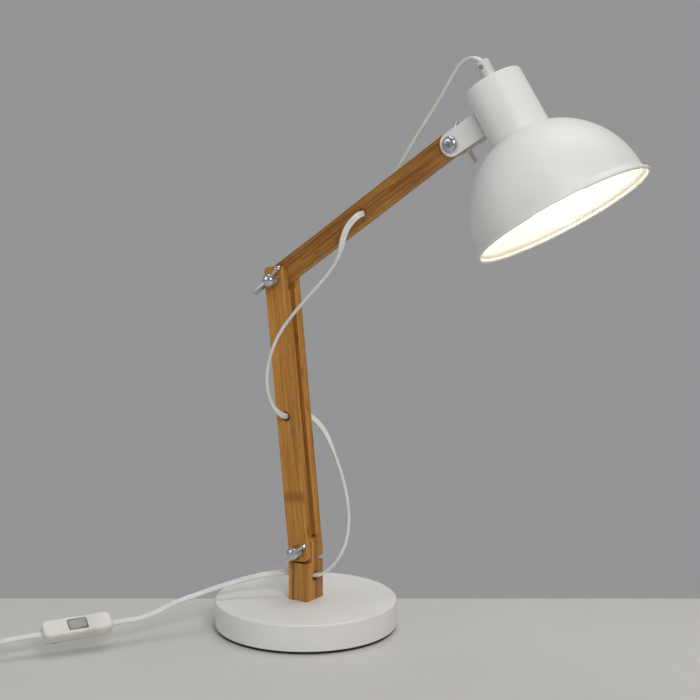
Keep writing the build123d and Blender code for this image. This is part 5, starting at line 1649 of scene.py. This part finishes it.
@dataclass
class FlatPlug:
    """Moulded two-pin plug with its ribbed sleeve and part-insulated pins."""

    back: tuple = (-279.2, -222.7, 6.85)
    heading: tuple = (-0.6884, 0.7254, 0.0)
    length: float = 34.0
    width: float = 35.3
    grip_width: float = 15.0
    thickness: float = 13.7
    pin_spacing: float = 18.6
    pin_length: float = 19.0
    pin_radius: float = 2.0
    sleeve_tip: float = 3.5
    sleeve_end: float = 4.7
    rear_edge: float = 2.2
    face_edge: float = 1.3
    corner: float = 4.2
    ridge_start: float = 3.6
    ridge_end: float = 15.6
    ridge_pitch: float = 2.4
    pin_nose: float = 1.1
    cover_length: float = 10.0
    cover_radius: float = 2.08
    cover_nose: float = 0.2

    def body(self) -> Rows:
        """Rings along the plug: a grip that widens smoothly to the face, with finger ridges.

        The width is grip + (face - grip) * s(t), where s is the smooth step 3t^2 - 2t^3
        from 11 to 28 mm along; five grooves 0.5 mm deep cross both broad sides of the grip.

        Returns:
            Closed surface in world points.
        """
        lean, rear, face = quarter(6), self.rear_edge, self.face_edge
        middle = np.arange(2.5, 32.5, 0.3)
        front = self.length - face + face * np.sin(lean)
        along = np.concatenate([rear - rear * np.cos(lean), middle, front])
        ease = np.concatenate([rear * (1 - np.sin(lean)), np.zeros(middle.size), face * (1 - np.cos(lean))])
        t = np.clip((along - 11) / 17, 0, 1)
        width = self.grip_width + (self.width - self.grip_width) * t * t * (3 - 2 * t) - 2 * ease
        ridge = np.clip(np.sin(FULL_TURN * (along - self.ridge_start) / self.ridge_pitch), 0, 1)
        ridge = ridge * (along > self.ridge_start) * (along < self.ridge_end)
        depth = self.thickness - 1.2 * (1 - np.clip(along / 26, 0, 1)) - ridge - 2 * ease
        rings = rounded_rings(width, depth, np.minimum(self.corner, depth / 2.2))
        return self.place().world(with_ends(raised(rings, along)))

    def place(self) -> Place:
        """Frame at the middle of the plug's back, z along the heading and x level."""
        side = np.cross(self.heading, UP)
        return Place(self.back, tuple(side), self.heading)

    def sleeve(self, start: tuple) -> Rows:
        """Points of the strain relief, tapered from the cord to the plug and grooved.

        Args:
            start: End of the cord, in millimetres.

        Returns:
            World points, shape (rows, 48, 3).
        """
        reach = np.array(self.back) - np.array(start)
        length = float(np.linalg.norm(reach))
        height = np.linspace(0.6, length - 1.0, 120)
        share = height / length
        groove = 0.55 * np.clip(np.sin(FULL_TURN * height / 4.0) * 1.6, 0, 1) * (share < 0.82)
        radius = self.sleeve_tip + (self.sleeve_end - self.sleeve_tip) * share - groove
        mouth = [(0.0, 0.3), (3.0, 0.3), (3.1, 0.0), (self.sleeve_tip, 0.2)]
        root = [(self.sleeve_end, length + 0.8), (0.0, length + 0.8)]
        profile = np.concatenate([mouth, np.column_stack([radius, height]), root])
        return turned(profile, Place(start, UP, tuple(reach)), 48)

    def pin(self, side: int, low: float, high: float, radius: float, nose: float) -> Rows:
        """Points of one pin or of its insulating sleeve.

        Args:
            side: 1 or -1, the side of the plug.
            low: Height off the plug's face where it starts.
            high: Height where it ends.
            radius: Its radius.
            nose: Rounding of its end.

        Returns:
            World points, shape (rows, 40, 3).
        """
        tip = arc((radius - nose, high - nose), (nose, nose), quarter(7))
        profile = np.concatenate([[(0.0, low), (radius, low)], tip, [(0.0, high)]])
        place = self.place()
        shift = np.array(place.origin) + unit(place.x) * side * self.pin_spacing / 2
        return turned(profile, Place(tuple(shift), place.x, place.z).along(self.length), 40)

    def build(self, palette: Palette, cord_end: tuple) -> list:
        """Make the sleeve, the body and the pins.

        Args:
            palette: Finishes of the lamp.
            cord_end: End of the cord, in millimetres.

        Returns:
            The pieces that are on the cord's end.
        """
        sleeve = surface("plug_relief", [self.sleeve(cord_end)])
        seat(sleeve, BodyName.BASE, "cord_sheath", palette.plug, "plug_sleeve")
        body = surface("plug_moulding", [self.body()])
        seat(body, BodyName.BASE, "white_plastic", palette.plug, "plug_body")
        pin = (-1.0, self.pin_length, self.pin_radius, self.pin_nose)
        pins = surface("plug_prongs", [self.pin(side, *pin) for side in (1, -1)])
        seat(pins, BodyName.BASE, "chrome", palette.chrome, "plug_pins")
        cover = (-0.5, self.cover_length, self.cover_radius, self.cover_nose)
        caps = surface("prong_sleeves", [self.pin(side, *cover) for side in (1, -1)])
        seat(caps, BodyName.BASE, "white_plastic", palette.plug, "plug_pins")
        return [sleeve, body, pins, caps]


@dataclass
class TieBand:
    """Flat strap closed round the coil's turns."""

    coil: StoredCoil
    width: float = 5.0
    thickness: float = 0.6
    gap: float = 0.5
    half_cord: float = 2.9
    cord_rise: float = 1.65

    def build(self, palette: Palette) -> bpy.types.Object:
        """Carry the strap's section round a rounded rectangle that holds all the turns.

        Args:
            palette: Finishes of the lamp.

        Returns:
            The strap.
        """
        coil = self.coil
        inner = coil.outer - coil.pitch / 2 * coil.half_turns - self.half_cord - self.gap
        outer = coil.outer + self.half_cord + self.gap
        low, high = 0.1, coil.height + coil.rise + self.cord_rise + self.gap + self.thickness
        path = rounded_rings([outer - inner + self.thickness], [high - low - self.thickness], [2.2], 9)[0]
        path[:, 0] -= (outer + inner) / 2
        path[:, 1] += (high + low) / 2
        run = unit(np.roll(path, -1, axis=0) - np.roll(path, 1, axis=0))
        out = np.stack([run[:, 1], -run[:, 0]], axis=-1)
        half, deep = self.width / 2, self.thickness / 2
        section = soft_corners([(-half, -deep), (half, -deep), (half, deep), (-half, deep)], [0.2] * 4, 3)
        flat = path[:, None] + section[None, :, 1:] * out[:, None]
        across = np.broadcast_to(section[None, :, :1], (*flat.shape[:2], 1))
        turn = math.radians(coil.start_angle)
        place = Place((*coil.centre, 0.0), (math.cos(turn), math.sin(turn), 0.0), UP)
        rows = np.concatenate([flat[..., :1], -across, flat[..., 1:]], axis=-1)
        band = surface("coil_strap", [place.world(rows)[:, ::-1]], looped=True)
        return seat(band, BodyName.BASE, "rocker_plastic", palette.tie, "coil_tie")


@dataclass
class Wiring:
    """Every length of flex on the lamp, with the switch, the coil, its tie and the plug."""

    grip: tuple = (174.68, 0.0, 490.87)
    clamp_exit: tuple = (170.65, 0.0, 497.20)
    bar_hole: tuple = (62.05, 0.0, 369.28)
    slat_hole: tuple = (-11.884, 0.0, 189.458)
    post_hole: tuple = (0.0, 0.0, 47.2)

    def head_loop(self) -> FlexLead:
        """From inside the clamp, over the neck and down to the hole in the upper bar."""
        route = [
            plus(self.grip, unit(np.subtract(self.grip, self.clamp_exit)), 6.0), self.grip, self.clamp_exit,
            (161.6, 2.5, 499.2), (149.4, 6.3, 494.8), (139.6, 9.0, 483.8), (130.5, 11.5, 471.2),
            (121.0, 13.5, 458.8), (112.2, 15.0, 447.8), (103.0, 16.2, 435.6), (92.6, 17.4, 420.4),
            (84.0, 18.4, 407.6), (76.2, 18.9, 395.6), (69.2, 18.4, 384.2), (63.6, 14.6, 373.6),
            (self.bar_hole[0], 7.2, self.bar_hole[2]), self.bar_hole,
        ]
        facing = [(0.0, (0.5, 0.0, 1.0)), (0.15, (-0.1, -0.1, 1.0)), (0.3, (-0.74, -0.41, 0.53)),
                  (0.55, (-0.74, -0.41, 0.53)), (0.75, (-0.86, 0.25, 0.4)), (1.0, (-1.0, 0.0, -0.2))]
        return FlexLead("flex_at_head", route, facing, 0.2, ("cord_head", "cord_in_neck"))

    def elbow_loop(self) -> FlexLead:
        """From the bar's hole, round the elbow on the near side, to the hole in the near slat."""
        route = [
            self.bar_hole, (self.bar_hole[0], -7.8, self.bar_hole[2]), (59.4, -13.4, 365.6),
            (53.4, -16.0, 357.4), (50.2, -17.2, 346.4), (48.4, -18.4, 334.4), (40.6, -19.6, 322.0),
            (30.0, -20.9, 310.0), (17.6, -22.3, 296.6), (4.5, -23.6, 282.4), (-6.6, -24.7, 268.6),
            (-15.4, -25.4, 253.0), (-21.0, -25.7, 236.2), (-22.8, -25.4, 219.4), (-19.8, -24.0, 204.6),
            (-15.0, -21.4, 195.6), (-12.3, -15.4, 190.4), (self.slat_hole[0], -8.0, self.slat_hole[2]),
            self.slat_hole,
        ]
        facing = [(0.0, (1.0, 0.0, 0.3)), (0.1, (0.75, -0.65, 0.1)), (0.15, (0.8, -0.5, 0.0)),
                  (0.24, (0.75, 0.45, -0.3)), (0.5, (0.62, 0.33, -0.58)), (0.72, (0.8, 0.55, -0.2)),
                  (0.86, (0.76, 0.45, 0.25)), (1.0, (1.0, 0.0, -0.2))]
        return FlexLead("flex_at_elbow", route, facing, 0.236, ("cord_elbow",))

    def foot_loop(self) -> FlexLead:
        """From the far slat's hole, out past the arm, to the hole through the post."""
        route = [
            self.slat_hole, (self.slat_hole[0], 8.4, self.slat_hole[2]), (-9.6, 16.0, 187.2),
            (-3.0, 19.4, 182.0), (5.6, 20.6, 174.2), (13.2, 21.0, 161.4), (20.8, 20.7, 145.2),
            (28.2, 19.2, 128.6), (33.8, 16.8, 111.4), (36.9, 13.6, 94.0), (36.2, 9.6, 77.6),
            (30.8, 5.6, 64.2), (22.6, 2.2, 53.6), (12.4, 0.0, 47.2), self.post_hole,
        ]
        facing = [(0.0, (1.0, 0.0, 0.6)), (0.12, (0.6, -0.6, 0.5)), (0.2, (0.7, -0.3, 0.5)),
                  (0.32, (0.74, 0.5, 0.4)), (0.6, (0.74, 0.55, 0.2)), (0.8, (0.78, 0.2, -0.4)),
                  (0.9, (0.55, 0.1, -0.75)), (1.0, (0.0, 0.3, -1.0))]
        return FlexLead("flex_at_foot", route, facing, 0.194, ("cord_foot",))

    def table_lead(self) -> FlexLead:
        """From the post's hole, over the base's edge and down across the table to the switch."""
        route = [
            self.post_hole, (-12.0, 0.0, 47.2), (-21.8, -5.6, 46.6), (-30.4, -13.0, 45.7),
            (-39.2, -21.2, 44.0), (-47.6, -30.0, 41.4), (-55.6, -39.6, 38.8), (-63.2, -50.2, 36.2),
            (-70.4, -61.6, 33.0), (-77.6, -74.0, 30.2), (-84.8, -87.0, 26.6), (-91.2, -100.2, 21.4),
            (-97.2, -113.6, 19.2), (-103.18, -128.41, 20.29), (-111.21, -141.06, 19.81),
        ]
        facing = [(0.0, (0.0, -1.0, 0.4)), (0.2, (0.1, -0.75, 0.75)), (0.7, (0.25, -0.45, 0.9)),
                  (1.0, SWITCH.z)]
        return FlexLead("flex_to_switch", route, facing, 0.19, ("cord_to_switch",), far_end="fitting")

    def plug_lead(self, coil: StoredCoil) -> FlexLead:
        """From the switch down to the table, round the stored coil and out to the plug."""
        route = [
            (-137.79, -182.94, 18.19), (-145.82, -195.60, 17.71), (-152.8, -207.2, 17.4),
            (-159.4, -217.8, 16.4), (-167.0, -227.0, 13.2), (-175.4, -235.6, 8.0),
            coil.spot(coil.outer, -14.6, 3.4), coil.spot(coil.outer, -4.6, coil.height), *coil.points(),
        ]
        facing = [(0.0, SWITCH.z), (0.05, (0.1, -0.1, 1.0)), (1.0, UP)]
        return FlexLead(
            "flex_to_plug", route, facing, 1.46, ("cord_to_coil", "cord_coil"), far_end="plug", lay="coiled",
            smoothness=7,
        )

    def lay_out(self, palette: Palette) -> None:
        """Make every lead with the pieces on it, and let the two leads on the table ride on the base.

        Args:
            palette: Finishes of the lamp.
        """
        switch, coil = InlineSwitch(), StoredCoil()
        made = {}
        loops = [self.head_loop(), self.elbow_loop(), self.foot_loop()]
        for lead in (*loops, self.table_lead(), self.plug_lead(coil)):
            made[lead.name] = (lead, *lead.build(palette))
        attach(made["flex_to_switch"][1], BodyName.BASE.value)
        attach(made["flex_to_plug"][1], BodyName.BASE.value)
        tie = TieBand(coil).build(palette)
        on_plug = FlatPlug().build(palette, coil.points()[-1])
        on_cord = [*switch.build(palette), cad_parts["switch_screws"]]
        bends = {
            "flex_at_head": (BodyName.UPPER_ARM, BodyName.HEAD, self.bar_hole, self.clamp_exit),
            "flex_at_elbow": (BodyName.LOWER_ARM, BodyName.UPPER_ARM, self.slat_hole, self.bar_hole),
            "flex_at_foot": (BodyName.BASE, BodyName.LOWER_ARM, self.post_hole, self.slat_hole),
        }
        for name, (first, second, start, end) in bends.items():
            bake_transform(made[name][1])
        pieces = {"flex_to_switch": on_cord, "flex_to_plug": [tie, *on_plug]}
        for name, (lead, cord, line) in made.items():
            lead.declare(cord, line, pieces.get(name, []))


@dataclass(frozen=True)
class NodeFinishes:
    """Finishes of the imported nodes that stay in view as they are."""

    names: dict = field(default_factory=lambda: {
        "post": "post_wood", "slat_front": "lower_wood", "slat_back": "lower_wood",
        "upper_arm": "upper_wood", "arm_washers": "chrome", "head_washer": "chrome",
        "head_bracket": "shade_coat", "bracket_rivets": "chrome", "lampholder": "holder",
        "shade_ring": "holder", "nipple": "steel", "coupling": "brass", "clamp_screw": "chrome",
        "base_weight": "iron", "post_bolt": "steel", "post_insert": "brass", "post_dowel": "post_wood",
        "switch_screws": "steel",
    })

    def apply(self, palette: Palette) -> None:
        """Give every listed node its finish."""
        for node, finish in self.names.items():
            dress_node(node, getattr(palette, finish))


def main() -> None:
    """Build the lamp and its surroundings in order: camera, cords, solids, finishes, studio."""
    logging.basicConfig(level=logging.INFO, format="%(name)s: %(message)s")
    studio = Studio()
    studio.camera()
    palette = Palette()
    Wiring().lay_out(palette)
    RoundBase().build(palette)
    ShadeHead().build(palette)
    BallLamp().build(palette)
    pivots = [
        PivotSet("foot", FOOT_PIVOT, BACK, BodyName.LOWER_ARM, BodyName.FOOT_NUT, 13.9, 13.9, 33.8),
        PivotSet("elbow", ELBOW_PIVOT, BACK, BodyName.LOWER_ARM, BodyName.ELBOW_NUT, 13.9, 13.9, 44.0),
        PivotSet("head", HEAD_PIVOT, FRONT, BodyName.HEAD, BodyName.HEAD_NUT, 7.3, 8.8, -60.0),
    ]
    for pivot in pivots:
        pivot.build(palette)
    NodeFinishes().apply(palette)
    studio.light()
    studio.table(palette)


if __name__ == "__main__":
    main()
